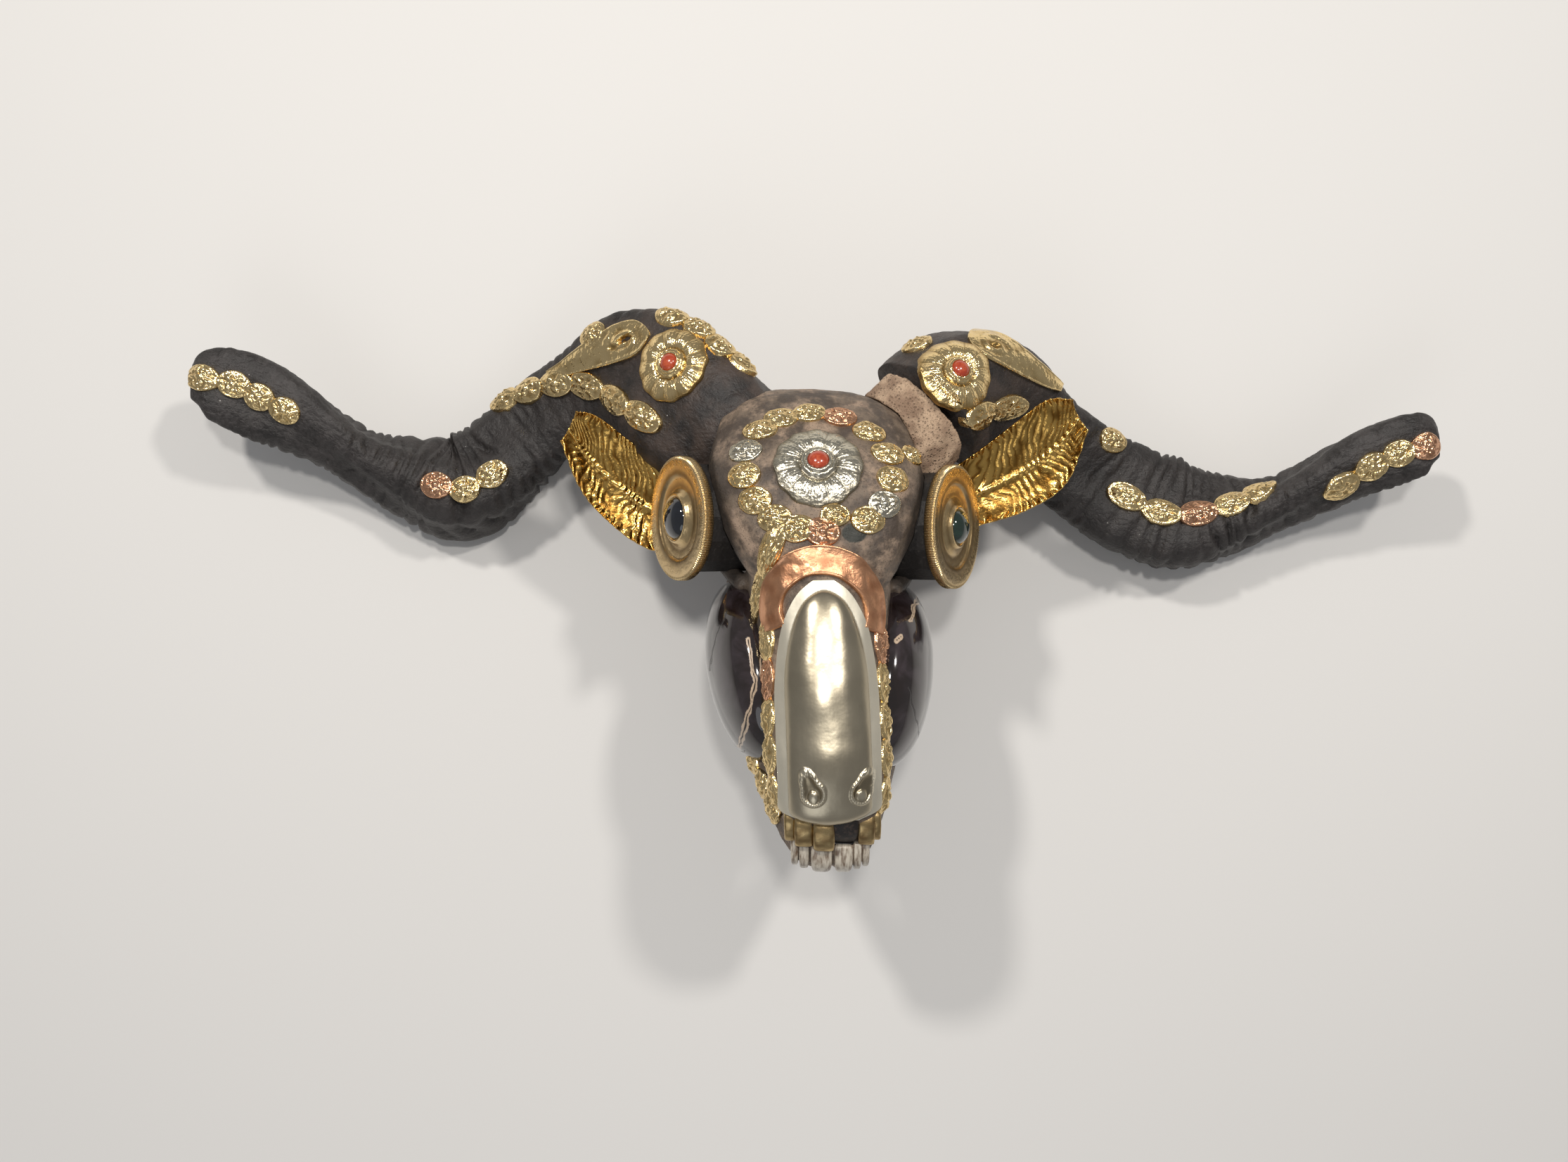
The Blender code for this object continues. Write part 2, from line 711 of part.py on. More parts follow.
def make_cheek_shell(side):
    name = "cheek_shell_" + ("left" if side < 0 else "right")
    across, front, top = SHELL_CENTRE
    centre = skull_point(side * across, front, top)
    lean = Matrix.Rotation(-side * SHELL_LEAN, 4, TOP) @ Matrix.Translation(-centre)
    lean = Matrix.Translation(centre) @ lean
    shell = ball(name, centre, SHELL_RADII, 11, 8)
    hollow = ball("hollow", centre, [r - SHELL_THICKNESS for r in SHELL_RADII], 8, 5)
    for tool in (shell, hollow):
        tool.data.transform(lean)
    wall = ball("wall", skull_point(side * (SHELL_INNER_SIDE - 200), front, top), (200, 900, 900), 8, 6)
    carve(shell, hollow, wall)
    for tool in (hollow, wall):
        bpy.data.objects.remove(tool, do_unlink=True)
    settle(shell, SHELL)


# Brass teeth in the upper jaw, as two blocks of joined teeth with a gap between them
LEFT_TEETH = [(-22.4, 3.1), (-14.7, 5.6), (-3.8, 6.1)]
RIGHT_TEETH = [(19.9, 4.7), (25.8, 2.6)]


def tooth_block(name, across, half):
    back = 0.012 * across * across
    path = [(236 - back, 7, half * 0.9, 2.4), (245.5 - back, 1, half, 3.0),
            (249.5 - back, -8.8, half * 0.95, 2.2)]
    return blade(name, path, across, 8)


def make_teeth(name, places):
    teeth = [tooth_block(name, across, half) for across, half in places]
    block, cutter = fuse(teeth)
    settle(block, BRASS, cutter)


# Medallions: small embossed ovals. The ring of them on the forehead has one place empty.
MEDALLION_HEIGHTS = [(1.0, 1.1), (0.55, 2.5)]
ROW_HEIGHTS = [(1.0, 1.2), (0.4, 2.4)]
ROSETTE_HEIGHTS = [(1.0, 1.4), (0.82, 3.2), (0.45, 4.0), (0.38, 3.0)]
RING_CENTRE_FRONT = 70.0
RING_WIDTH = 16.0
RING_TURN = math.radians(8)
RING_ANGLES = [94, 70, 43, 18, -6, -31, -51, -89, -108, -127, -149, -173, -196, -221, -242.5]
RING_LOOKS = [BRASS, COPPER, BRASS, BRASS, BRASS, SILVER, BRASS, COPPER, BRASS, BRASS, BRASS, BRASS,
              SILVER, BRASS, BRASS]


def medallion(name, skin, point, direction, length=MEDALLION_LENGTH, width=MEDALLION_WIDTH, turn=0.0,
              heights=MEDALLION_HEIGHTS, sides=8, along=None):
    made, _, _ = laid_disc(name, skin, point, direction, length / 2, width / 2, heights, sides,
                           turn=turn, along=along)
    return made


def forehead_ring(skin):
    for index, (angle, look) in enumerate(zip(RING_ANGLES, RING_LOOKS)):
        angle = math.radians(angle)
        reach = RING_RADIUS if math.sin(angle) > 0 else RING_FRONT_RADIUS
        point = skull_point(RING_RADIUS * math.cos(angle), RING_CENTRE_FRONT - reach * math.sin(angle), 104)
        turn = 0.0 if abs(math.cos(angle)) > 0.5 else RING_TURN * (-1) ** index
        settle(medallion("forehead_medallion_%02d" % (index + 1), skin, point, -TOP, width=RING_WIDTH,
                         turn=turn), look)


def medallion_row(name, skin, points, direction, reach=MEDALLION_LENGTH, width=MEDALLION_WIDTH):
    """Medallions that lap over one another along a line, joined into one piece."""
    spots = [drop(skin, point, direction)[0] for point in points]
    row = []
    for index, point in enumerate(points):
        first, last = max(index - 1, 0), min(index + 1, len(points) - 1)
        along = (spots[last] - spots[first]) / max(1, last - first)
        row.append(medallion(name, skin, point, direction, length=max(reach, 1.14 * along.length),
                             width=width, heights=ROW_HEIGHTS,
                             along=along.normalized() if last > first else None))
    whole, cutter = fuse(row)
    settle(whole, BRASS, cutter)


def rosette(name, coral_name, skin, point, direction, radius, look):
    """A twelve petalled rosette with a coral bead in its middle."""
    made, place, normal = laid_disc(name, skin, point, direction, radius, radius, ROSETTE_HEIGHTS, 24,
                                    lobes=12)
    settle(made, look)
    size = radius / ROSETTE_RADIUS
    profile = [(0, 8.5 * size), (3.6 * size, 7.4 * size), (5.6 * size, 4.6 * size), (8.2 * size, 4.4 * size),
               (8.6 * size, 0.5), (0, 0.5)]
    settle(turned(coral_name, profile, place, normal, 9), CORAL)


# Places of the mounts on the horns, right and up from the middle of the view
LEFT_TOP_ROW = [(-68, 161), (-51, 153), (-38, 141), (-24, 130)]
LEFT_INNER_ROW = [(-181, 117), (-164, 122), (-144, 125), (-123, 122), (-104, 111), (-86, 99)]
LEFT_DIP_ROW = [(-221, 61), (-203, 58.5), (-186, 68)]
LEFT_TIP_ROW = [(-314, 107), (-329, 115.5), (-344, 123), (-364, 127)]
LEFT_BACK = [(-116, 150)]
RIGHT_INNER_ROW = [(119, 99), (137, 106)]
RIGHT_DIP_ROW = [(219, 54), (241, 44), (264, 43.5), (286, 50), (305, 58)]
RIGHT_TIP_ROW = [(352, 60), (369, 72), (385, 80), (401, 84)]
RIGHT_EDGE = [(81, 144)]
RIGHT_BACK = [(210, 90)]
LEFT_LEAF = [(-150, 130, 2.5), (-138, 134, 5), (-124, 139, 8), (-108, 144, 11), (-93, 148, 11.5),
             (-81, 150, 6)]
RIGHT_LEAF = [(111, 148, 6), (122, 145, 10), (137, 138, 9.5), (152, 130, 7), (164, 124, 5), (173, 120, 2.5)]
MUZZLE_ROW = [(152, 52), (171, 42), (190, 32), (208, 22.5), (225, 11)]
JAW_ROW = [(168, -28), (185, -26), (202, -24), (218, -23)]


def plan(places):
    return [Vector((x, y, 60.0)) for x, y in places]


def beside(side, places):
    return [skull_point(side * 45, front, top) for front, top in places]


def leaf(name, skin, line):
    rows = smooth_rows(line, 2)
    centres = [Vector((x, y, 60.0)) for x, y, _ in rows]
    halves = [half for _, _, half in rows]
    settle(laid_strip(name, skin, centres, halves, lambda along: DOWN, 4, lambda along, v: 1.8), BRASS)


def stand_on_origin():
    """Moves the whole part to its origin, at the middle of its foot, and turns it into metres."""
    corners = np.array([v.co for item in PARTS.objects for v in item.data.vertices])
    low, high = corners.min(axis=0), corners.max(axis=0)
    middle = (low + high) / 2
    shift = Matrix.Translation(Vector((-middle[0], -middle[1], -low[2])))
    print("middle", round(middle[0], 2), round(middle[1], 2), "foot", round(low[2], 3))
    for item in list(PARTS.objects) + list(CUTTERS.objects):
        item.data.transform(Matrix.Scale(METRES, 4) @ shift)
        face_outwards(item)


def build():
    skull = make_skull()
    mandible = make_mandible()
    horn_left, horn_right = make_horns()
    skull_skin, jaw_skin = surface(skull), surface(mandible)
    left_skin, right_skin = surface(horn_left), surface(horn_right)
    for side in (-1, 1):
        make_eye(side)
    make_ear("ear_left", EAR_LEFT_UPPER, EAR_LEFT_LOWER)
    make_ear("ear_right", EAR_RIGHT_UPPER, EAR_RIGHT_LOWER)

    make_nose_plate(skull_skin)
    make_collar(skull_skin)
    for side in (-1, 1):
        make_cheek_shell(side)
    make_teeth("brass_teeth_left", LEFT_TEETH)
    make_teeth("brass_teeth_right", RIGHT_TEETH)

    middle = skull_point(0, RING_CENTRE_FRONT, 104)
    rosette("forehead_rosette", "forehead_coral", skull_skin, middle, -TOP, ROSETTE_RADIUS, SILVER)
    forehead_ring(skull_skin)
    extras = (("forehead_medallion_inner", [skull_point(8, 98.5, 100)], 17.0),
              ("forehead_medallion_outer", [skull_point(55, 51, 98)], 15.0),
              ("forehead_medallion_side", [skull_point(-28, 114, 90), skull_point(-36, 127, 80)], 16.0))
    for name, places, reach in extras:
        medallion_row(name, skull_skin, places, -TOP, reach=reach, width=13.0)

    rosette("horn_rosette_left", "horn_coral_left", left_skin, plan([(-67, 129)])[0], DOWN,
            HORN_ROSETTE_RADIUS, BRASS)
    rosette("horn_rosette_right", "horn_coral_right", right_skin, plan([(103, 124)])[0], DOWN,
            HORN_ROSETTE_RADIUS, BRASS)
    leaf("horn_leaf_left", left_skin, LEFT_LEAF)
    leaf("horn_leaf_right", right_skin, RIGHT_LEAF)
    rows = (("horn_row_left_top", left_skin, LEFT_TOP_ROW),
            ("horn_row_left_inner", left_skin, LEFT_INNER_ROW),
            ("horn_row_left_dip", left_skin, LEFT_DIP_ROW),
            ("horn_row_left_tip", left_skin, LEFT_TIP_ROW),
            ("horn_row_left_back", left_skin, LEFT_BACK),
            ("horn_row_right_inner", right_skin, RIGHT_INNER_ROW),
            ("horn_row_right_dip", right_skin, RIGHT_DIP_ROW),
            ("horn_row_right_tip", right_skin, RIGHT_TIP_ROW),
            ("horn_row_right_edge", right_skin, RIGHT_EDGE),
            ("horn_row_right_back", right_skin, RIGHT_BACK))
    for name, skin, places in rows:
        medallion_row(name, skin, plan(places), DOWN)
    for side, name in ((-1, "left"), (1, "right")):
        medallion_row("muzzle_row_" + name, skull_skin, beside(side, MUZZLE_ROW), SIDE * -side, width=15.0)
    medallion_row("jaw_row_left", jaw_skin, beside(-1, JAW_ROW), SIDE, width=15.0)
    stand_on_origin()
    print("parts", len(PARTS.objects), "triangles", sum(len(p.vertices) - 2 for item in PARTS.objects
                                                        for p in item.data.polygons))


build()
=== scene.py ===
import random
from math import acos, atan2, copysign, cos, exp, hypot, pi, radians, sin, sqrt, tau

import bmesh
import bpy
import numpy as np
from mathutils import Matrix, Vector
from mathutils.bvhtree import BVHTree
from mathutils.noise import fractal, noise


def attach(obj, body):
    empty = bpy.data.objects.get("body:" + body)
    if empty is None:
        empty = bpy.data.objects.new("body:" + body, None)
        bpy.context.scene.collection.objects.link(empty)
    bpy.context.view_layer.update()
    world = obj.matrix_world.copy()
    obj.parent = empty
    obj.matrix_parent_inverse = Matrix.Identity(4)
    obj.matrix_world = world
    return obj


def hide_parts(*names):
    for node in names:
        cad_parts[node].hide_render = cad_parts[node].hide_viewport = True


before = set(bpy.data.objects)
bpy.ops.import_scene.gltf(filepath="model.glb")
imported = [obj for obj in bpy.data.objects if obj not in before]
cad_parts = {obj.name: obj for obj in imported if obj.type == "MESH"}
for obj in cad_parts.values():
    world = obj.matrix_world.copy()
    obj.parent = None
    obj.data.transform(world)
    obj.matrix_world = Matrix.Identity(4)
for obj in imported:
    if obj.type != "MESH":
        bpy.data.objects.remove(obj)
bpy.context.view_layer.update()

# The camera hangs one metre above the floor and looks straight down, with its top towards +y. The object is
# drawn in millimetres about the point below it, with x to the right and z up from the floor. The frame's
# origin is the middle of the object's foot, which is FOOT away from that point.
MM = 0.001
FOOT = Vector((19.49, 1.63, 0.0))
TO_MM = Matrix.Translation(FOOT) @ Matrix.Scale(1 / MM, 4)
TO_METRES = TO_MM.inverted()
CAMERA_HEIGHT = 1000.0
LENS = 34.14
SENSOR = 36.0


def placed(name, data):
    made = bpy.data.objects.new(name, data)
    bpy.context.scene.collection.objects.link(made)
    return made


camera_data = bpy.data.cameras.new("camera")
camera_data.lens = LENS
camera_data.sensor_width = SENSOR
camera = placed("camera", camera_data)
camera.location = TO_METRES @ Vector((0, 0, CAMERA_HEIGHT))
bpy.context.scene.camera = camera

# The stage: a plain pale floor that runs far past the picture, and soft round lamps from the side that the
# horns' crests point to, so that the shadows fall towards the muzzle as they do in the photograph. Each
# lamp has its place and size in metres, its power in watts and its colour.
FLOOR_HALF = 6.0
FLOOR_COLOUR = (0.74, 0.73, 0.71, 1.0)
FLOOR_ROUGHNESS = 0.75
WORLD_COLOUR = (0.80, 0.80, 0.82, 1.0)
WORLD_STRENGTH = 0.31
LAMP_TARGET = Vector((0.0, 0.0, 0.05))
LAMPS = [
    ("lamp_left", (-0.70, 0.95, 1.55), 0.16, 14.0, (1.0, 0.955, 0.90)),
    ("lamp_right", (0.75, 0.80, 1.60), 0.16, 11.5, (1.0, 0.955, 0.90)),
    ("lamp_high", (0.05, 0.42, 1.95), 0.14, 9.5, (1.0, 0.97, 0.93)),
    ("lamp_front", (-0.35, -1.30, 1.20), 1.00, 2.5, (0.93, 0.96, 1.0)),
]

floor_mesh = bpy.data.meshes.new("floor")
floor_corners = [(x * FLOOR_HALF, y * FLOOR_HALF, 0) for x, y in ((-1, -1), (1, -1), (1, 1), (-1, 1))]
floor_mesh.from_pydata(floor_corners, [], [(0, 1, 2, 3)])
floor_material = bpy.data.materials.new("floor")
floor_material.use_nodes = True
floor_shader = floor_material.node_tree.nodes["Principled BSDF"]
floor_shader.inputs["Base Color"].default_value = FLOOR_COLOUR
floor_shader.inputs["Roughness"].default_value = FLOOR_ROUGHNESS
floor_mesh.materials.append(floor_material)
floor = placed("floor", floor_mesh)

for lamp_name, lamp_place, lamp_size, lamp_power, lamp_colour in LAMPS:
    lamp_data = bpy.data.lights.new(lamp_name, "AREA")
    lamp_data.shape = "DISK"
    lamp_data.size = lamp_size
    lamp_data.energy = lamp_power
    lamp_data.color = lamp_colour
    lamp = placed(lamp_name, lamp_data)
    lamp.location = lamp_place
    lamp.rotation_euler = (LAMP_TARGET - lamp.location).to_track_quat("-Z", "Y").to_euler()

world = bpy.data.worlds.new("studio")
world.use_nodes = True
world.node_tree.nodes["Background"].inputs["Color"].default_value = WORLD_COLOUR
world.node_tree.nodes["Background"].inputs["Strength"].default_value = WORLD_STRENGTH
bpy.context.scene.world = world
bpy.context.scene.view_settings.view_transform = "Standard"

# The skull and the lower jaw: brown, stained bone, dry and dull, with pinkish tan patches where the stain
# has rubbed off, dark blotches, fine pores and painted shade in the hollows round the eye cups. They are the
# solids with their facets smoothed away, and they carry all the mounts. A Look holds one material, and a
# Value is a socket in it whose sums read as maths.
BONE_BROWN = (0.178, 0.134, 0.097)
BONE_TAN = (0.345, 0.250, 0.180)
BONE_DARK = (0.070, 0.052, 0.040)
# The colour of the painted shade round the eye cups.
BONE_SHADE = (0.030, 0.024, 0.020)
RESIN = (0.028, 0.030, 0.024)
SKULL_VOXEL = 1.5
JAW_VOXEL = 1.2
NOISE_ROUGHNESS = 0.55
SHAPES = {}


class Value:
    def __init__(self, look, socket):
        self.look = look
        self.socket = socket

    def sum(self, operation, first, second):
        return self.look.node("Math", {"operation": operation}, {0: first, 1: second})

    def __add__(self, other):
        return self.sum("ADD", self, other)

    def __radd__(self, other):
        return self.sum("ADD", other, self)

    def __sub__(self, other):
        return self.sum("SUBTRACT", self, other)

    def __rsub__(self, other):
        return self.sum("SUBTRACT", other, self)

    def __mul__(self, other):
        return self.sum("MULTIPLY", self, other)

    def __rmul__(self, other):
        return self.sum("MULTIPLY", other, self)

    def step(self, low, high):
        """Rises smoothly from 0 at low to 1 at high."""
        return self.look.node("MapRange", {"interpolation_type": "SMOOTHSTEP"},
                              {0: self, 1: low, 2: high, 3: 0.0, 4: 1.0})


class Look:
    def __init__(self, name, roughness=0.5, metallic=0.0, **fixed):
        self.material = bpy.data.materials.new(name)
        self.material.use_nodes = True
        self.tree = self.material.node_tree
        self.shader = self.tree.nodes["Principled BSDF"]
        self.shader.inputs["Roughness"].default_value = roughness
        self.shader.inputs["Metallic"].default_value = metallic
        for key, value in fixed.items():
            self.shader.inputs[key.replace("_", " ").title()].default_value = value

    def feed(self, socket, value):
        if isinstance(value, Value):
            self.tree.links.new(value.socket, socket)
        elif isinstance(value, tuple) and len(value) == 3 and socket.type == "RGBA":
            socket.default_value = (*value, 1.0)
        else:
            socket.default_value = value

    def node(self, kind, settings, inputs, output=0):
        made = self.tree.nodes.new("ShaderNode" + kind)
        for key, value in settings.items():
            setattr(made, key, value)
        for key, value in inputs.items():
            self.feed(made.inputs[key], value)
        return Value(self, made.outputs[output])

    def place(self, stretch=(1.0, 1.0, 1.0)):
        """Where a point is in the object, in millimetres, stretched along each axis."""
        factors = tuple(share / MM for share in stretch)
        return self.node("VectorMath", {"operation": "MULTIPLY"},
                         {0: self.node("TexCoord", {}, {}, "Object"), 1: factors})

    def stored(self, name, output="Fac"):
        """A number, or three as a Vector, that the mesh keeps at each of its points."""
        return self.node("Attribute", {"attribute_name": name}, {}, output)

    def noise(self, size, detail=4.0, where=None, distortion=0.0):
        """Soft random values near 0.5, with features of a size in millimetres."""
        return self.node("TexNoise", {}, {
            "Vector": where or self.place(), "Scale": 1.0 / size, "Detail": detail,
            "Roughness": NOISE_ROUGHNESS, "Distortion": distortion}, "Fac")

    def cells(self, size):
        """Distance to the nearest of many random points."""
        return self.node("TexVoronoi", {}, {"Vector": self.place(), "Scale": 1.0 / size}, "Distance")

    def mix(self, share, first, second):
        """A blend of two colours: the second one where the share is 1."""
        return self.node("Mix", {"data_type": "RGBA"}, {0: share, 6: first, 7: second}, 2)

    def bump(self, height, depth, under=None):
        """A finer relief: its height runs from 0 to 1, over a depth in millimetres."""
        inputs = {"Height": height, "Strength": 1.0, "Distance": depth * MM}
        if under:
            inputs["Normal"] = under
        return self.node("Bump", {}, inputs)

    def finish(self, **links):
        for key, value in links.items():
            self.feed(self.shader.inputs[key.replace("_", " ").title()], value)
        return self.material


def bone_look():
    look = Look("bone", roughness=0.6)
    broad = look.noise(26.0, 3.0, distortion=0.6)
    fine = look.noise(3.2, 6.0)
    grain = look.noise(0.9, 3.0)
    pores = look.cells(1.3).step(0.10, 0.32)
    colour = look.mix((broad + fine * 0.35).step(0.62, 0.86), BONE_BROWN, BONE_TAN)
    colour = look.mix((look.noise(15.0, 5.0) + fine * 0.3).step(0.50, 0.78), BONE_DARK, colour)
    colour = look.mix(pores * 0.8 + 0.2, BONE_DARK, colour)
    # Painted shade: the bone darkens towards near black round the eye cups, by a share kept at the skull's
    # points.
    colour = look.mix((look.stored("darkening") + fine * 0.5 - 0.25).step(0.1, 0.9) * 0.85, colour, BONE_SHADE)
    colour = look.mix((look.stored("patch") + fine * 0.2 - 0.1).step(0.05, 0.20), colour, RESIN)
    normal = look.bump(grain * 0.6 + pores * 0.4, 0.28, look.bump(look.noise(5.5, 5.0), 1.1))
    return look.finish(Base_Color=colour, Roughness=fine * 0.35 + 0.42, Normal=normal)


def dress(piece, node, material):
    """Puts a material on a piece and has it stand for a solid."""
    piece.data.materials.clear()
    piece.data.materials.append(material)
    piece.data.shade_smooth()
    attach(piece, "root")
    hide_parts(node)


def smoothed(node, voxel, lumps, lump_size, rounds=6):
    """A copy of a solid with even, smooth skin and soft lumps. Sizes are in millimetres."""
    work = bmesh.new()
    work.from_mesh(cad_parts[node].data)
    bmesh.ops.remove_doubles(work, verts=work.verts, dist=0.001 * MM)
    mesh = bpy.data.meshes.new(node + "_skin")
    work.to_mesh(mesh)
    work.free()
    piece = placed(node + "_skin", mesh)
    even = piece.modifiers.new("even", "REMESH")
    even.mode = "VOXEL"
    even.voxel_size = voxel * MM
    soft = piece.modifiers.new("soft", "SMOOTH")
    soft.iterations = rounds
    graph = bpy.context.evaluated_depsgraph_get()
    baked = bpy.data.meshes.new_from_object(piece.evaluated_get(graph))
    piece.modifiers.clear()
    piece.data = baked
    baked.transform(TO_MM)
    for vert, normal in zip(baked.vertices, [Vector(n.vector) for n in baked.vertex_normals]):
        vert.co += normal * (lumps * fractal(vert.co / lump_size, 1.0, 2.0, 4))
    SHAPES[node] = BVHTree.FromPolygons([v.co for v in baked.vertices],
                                        [tuple(p.vertices) for p in baked.polygons])
    baked.transform(TO_METRES)
    return piece


bone = bone_look()
skull_piece = smoothed("skull", SKULL_VOXEL, 0.35, 9.0)
dress(skull_piece, "skull", bone)
dress(smoothed("mandible", JAW_VOXEL, 0.25, 7.0, rounds=4), "mandible", bone)

# The horns: dark keratin sheaths on bone cores, with a leathery base, deep cross wrinkles where they dip to
# the floor, a painted highlight on the wrinkle crests, and a grey bloom towards the tips. Each row gives the
# centre, the half width level with the floor and the half depth of a horn, in the places that the solids
# have.
HORN_BASE = (0.060, 0.041, 0.032)
HORN_BLACK = (0.0120, 0.0098, 0.0090)
# The grey bloom of the tips, also the colour of the painted highlight on the wrinkle crests.
HORN_BLOOM_AND_SHINE = (0.056, 0.050, 0.049)
HORN_FLECK = (0.42, 0.40, 0.38)


def horn_look():
    look = Look("horn", roughness=0.45)
    along = look.stored("along")
    streaks = look.noise(1.0, 5.0, where=look.stored("grain", "Vector"))
    blotch = look.noise(16.0, 5.0)
    dust = look.noise(2.4, 6.0)
    brown = (1.0 - along.step(0.10, 0.42)) * 0.9 + 0.1
    base = look.mix(brown * blotch.step(0.30, 0.70), HORN_BLACK, HORN_BASE)
    bloom_share = (along.step(0.35, 0.85) * 0.6 + 0.12) * (dust * 0.6 + blotch * 0.7).step(0.50, 0.85)
    # Painted highlight: the crests of the cross wrinkles are lightened towards the bloom colour.
    colour = look.mix(bloom_share + look.stored("folds") * 0.30 * dust, base, HORN_BLOOM_AND_SHINE)
    colour = look.mix(streaks.step(0.60, 0.80) * 0.16, colour, HORN_BLOOM_AND_SHINE)
    fleck = (1.0 - look.cells(9.0).step(0.030, 0.060)) * look.noise(30.0, 2.0).step(0.50, 0.60)
    colour = look.mix(fleck, colour, HORN_FLECK)
    normal = look.bump(look.noise(0.8, 3.0), 0.14, look.bump(dust, 0.9, look.bump(streaks, 1.0)))
    return look.finish(Base_Color=colour, Roughness=dust * 0.40 + 0.30, Normal=normal)


LEFT_HORN = [
    (-8, 66, 96, 20, 14), (-28, 82, 100, 38, 24), (-46, 101, 96, 41, 27), (-70, 122, 82, 42, 27),
    (-95, 129, 63, 38, 27), (-123, 121, 43, 28, 26), (-158, 99, 27, 28, 27), (-187, 73, 25, 31, 26),
    (-213, 60, 25, 34, 26), (-243, 68, 26, 27, 24), (-272, 80, 32, 18.5, 21), (-293, 94, 41, 18, 19),
    (-317, 109, 49, 22.5, 17), (-340, 119, 55, 24, 15), (-361, 124, 59, 21, 14), (-373, 124, 60, 10, 7)]
RIGHT_HORN = [
    (46, 64, 96, 20, 14), (64, 79, 100, 37, 24), (84, 100, 96, 38, 27), (107, 118, 82, 39, 27),
    (133, 118, 63, 36, 27), (161, 99, 43, 28, 26), (194, 72, 27, 31, 27), (225, 51, 25, 34, 26),
    (255, 40, 25, 36, 26), (287, 42, 26, 27, 24), (315, 49, 32, 17.5, 21), (339, 60, 41, 17, 19),
    (362, 74, 49, 18.5, 17), (384, 82, 55, 19.5, 15), (402, 86, 59, 18, 14), (412, 86, 60, 9, 7)]
HORN_STEPS = 16
HORN_SIDES = 112
HORN_TURN = radians(200)
HORN_POWER = 2.2
RIGHT_HORN_START = 2.2
WRINKLE_PITCH = 8.2
WRINKLE_DEPTH = 6.2
KEELS = 3
KEEL_SWELL = 0.09
KEEL_SHARP = 1.2
KEEL_HOLLOW = 2.6
ENVELOPE = 1.3


def smooth_rows(rows, steps):
    """Rows of numbers, read at even steps along one smooth curve through them."""
    rows = np.asarray(rows, float)
    padded = np.vstack([2 * rows[0] - rows[1], rows, 2 * rows[-1] - rows[-2]])
    read = []
    for index in range(len(rows) - 1):
        before, start, end, after = padded[index:index + 4]
        for step in range(steps):
            t = step / steps
            read.append(start + 0.5 * t * (end - before + t * (2 * before - 5 * start + 4 * end - after
                        + t * (3 * (start - end) + after - before))))
    read.append(rows[-1])
    return np.array(read)


def rounded(angle, power):
    """A point of a rounded square of half size 1: power 2 is a circle, and more is squarer."""
    c, s = cos(angle), sin(angle)
    return (copysign(abs(c) ** (2 / power), c), copysign(abs(s) ** (2 / power), s))


def heading(rows, index):
    """The way from the row before to the row after."""
    return rows[min(index + 1, len(rows) - 1)] - rows[max(index - 1, 0)]


def angles(count):
    return [tau * k / count for k in range(count)]


def grid_faces(rows, columns, closed):
    """Squares between rows of points. A closed grid joins its last column to its first."""
    faces = []
    for row in range(rows - 1):
        for k in range(columns if closed else columns - 1):
            a, b = row * columns + k, row * columns + (k + 1) % columns
            faces.append((a, b, b + columns, a + columns))
    return faces


def piece_of(name, points, faces, **numbers):
    """A mesh from points in millimetres, with numbers kept at its points for the material."""
    mesh = bpy.data.meshes.new(name)
    mesh.from_pydata([tuple(TO_METRES @ Vector(p)) for p in points], [], faces)
    for key, values in numbers.items():
        values = np.asarray(values, float)
        kind = "FLOAT" if values.ndim == 1 else "FLOAT_VECTOR"
        stored = mesh.attributes.new(key, kind, "POINT")
        stored.data.foreach_set("value" if values.ndim == 1 else "vector", values.ravel())
    work = bmesh.new()
    work.from_mesh(mesh)
    bmesh.ops.recalc_face_normals(work, faces=work.faces)
    work.to_mesh(mesh)
    work.free()
    return placed(name, mesh)


def bell(x, centre, width):
    """Rises to 1 where x meets the centre."""
    return exp(-((x - centre) / width) ** 2)


def wrinkle(length, along, angle, crest):
    """The cross wrinkles: sharp troughs between rounded ridges, deepest on the keels and in the dip, and the
    share of painted highlight on the ridge tops.
    """
    here = Vector((length / 9.0, 1.7 * cos(angle), 1.7 * sin(angle)))
    phase = length / WRINKLE_PITCH + 1.3 * noise(here * 0.45) + 0.28 * sin(angle + 1.0)
    fold = abs(sin(pi * phase)) ** 0.6
    strong = bell(along, 0.52, 0.17)
    start = min(1.0, along / 0.16)
    depth = WRINKLE_DEPTH * (0.09 + 0.60 * strong + 0.31 * crest * start) * (1.0 - along ** 8)
    rough = 0.7 * fractal(here * 0.8, 1.0, 2.0, 4)
    cut = depth * (fold - 1.0) * max(0.15, 0.75 + 1.2 * noise(here * 0.7))
    return min(ENVELOPE - 0.3, 0.8 + cut + rough), fold * (strong + 0.2)


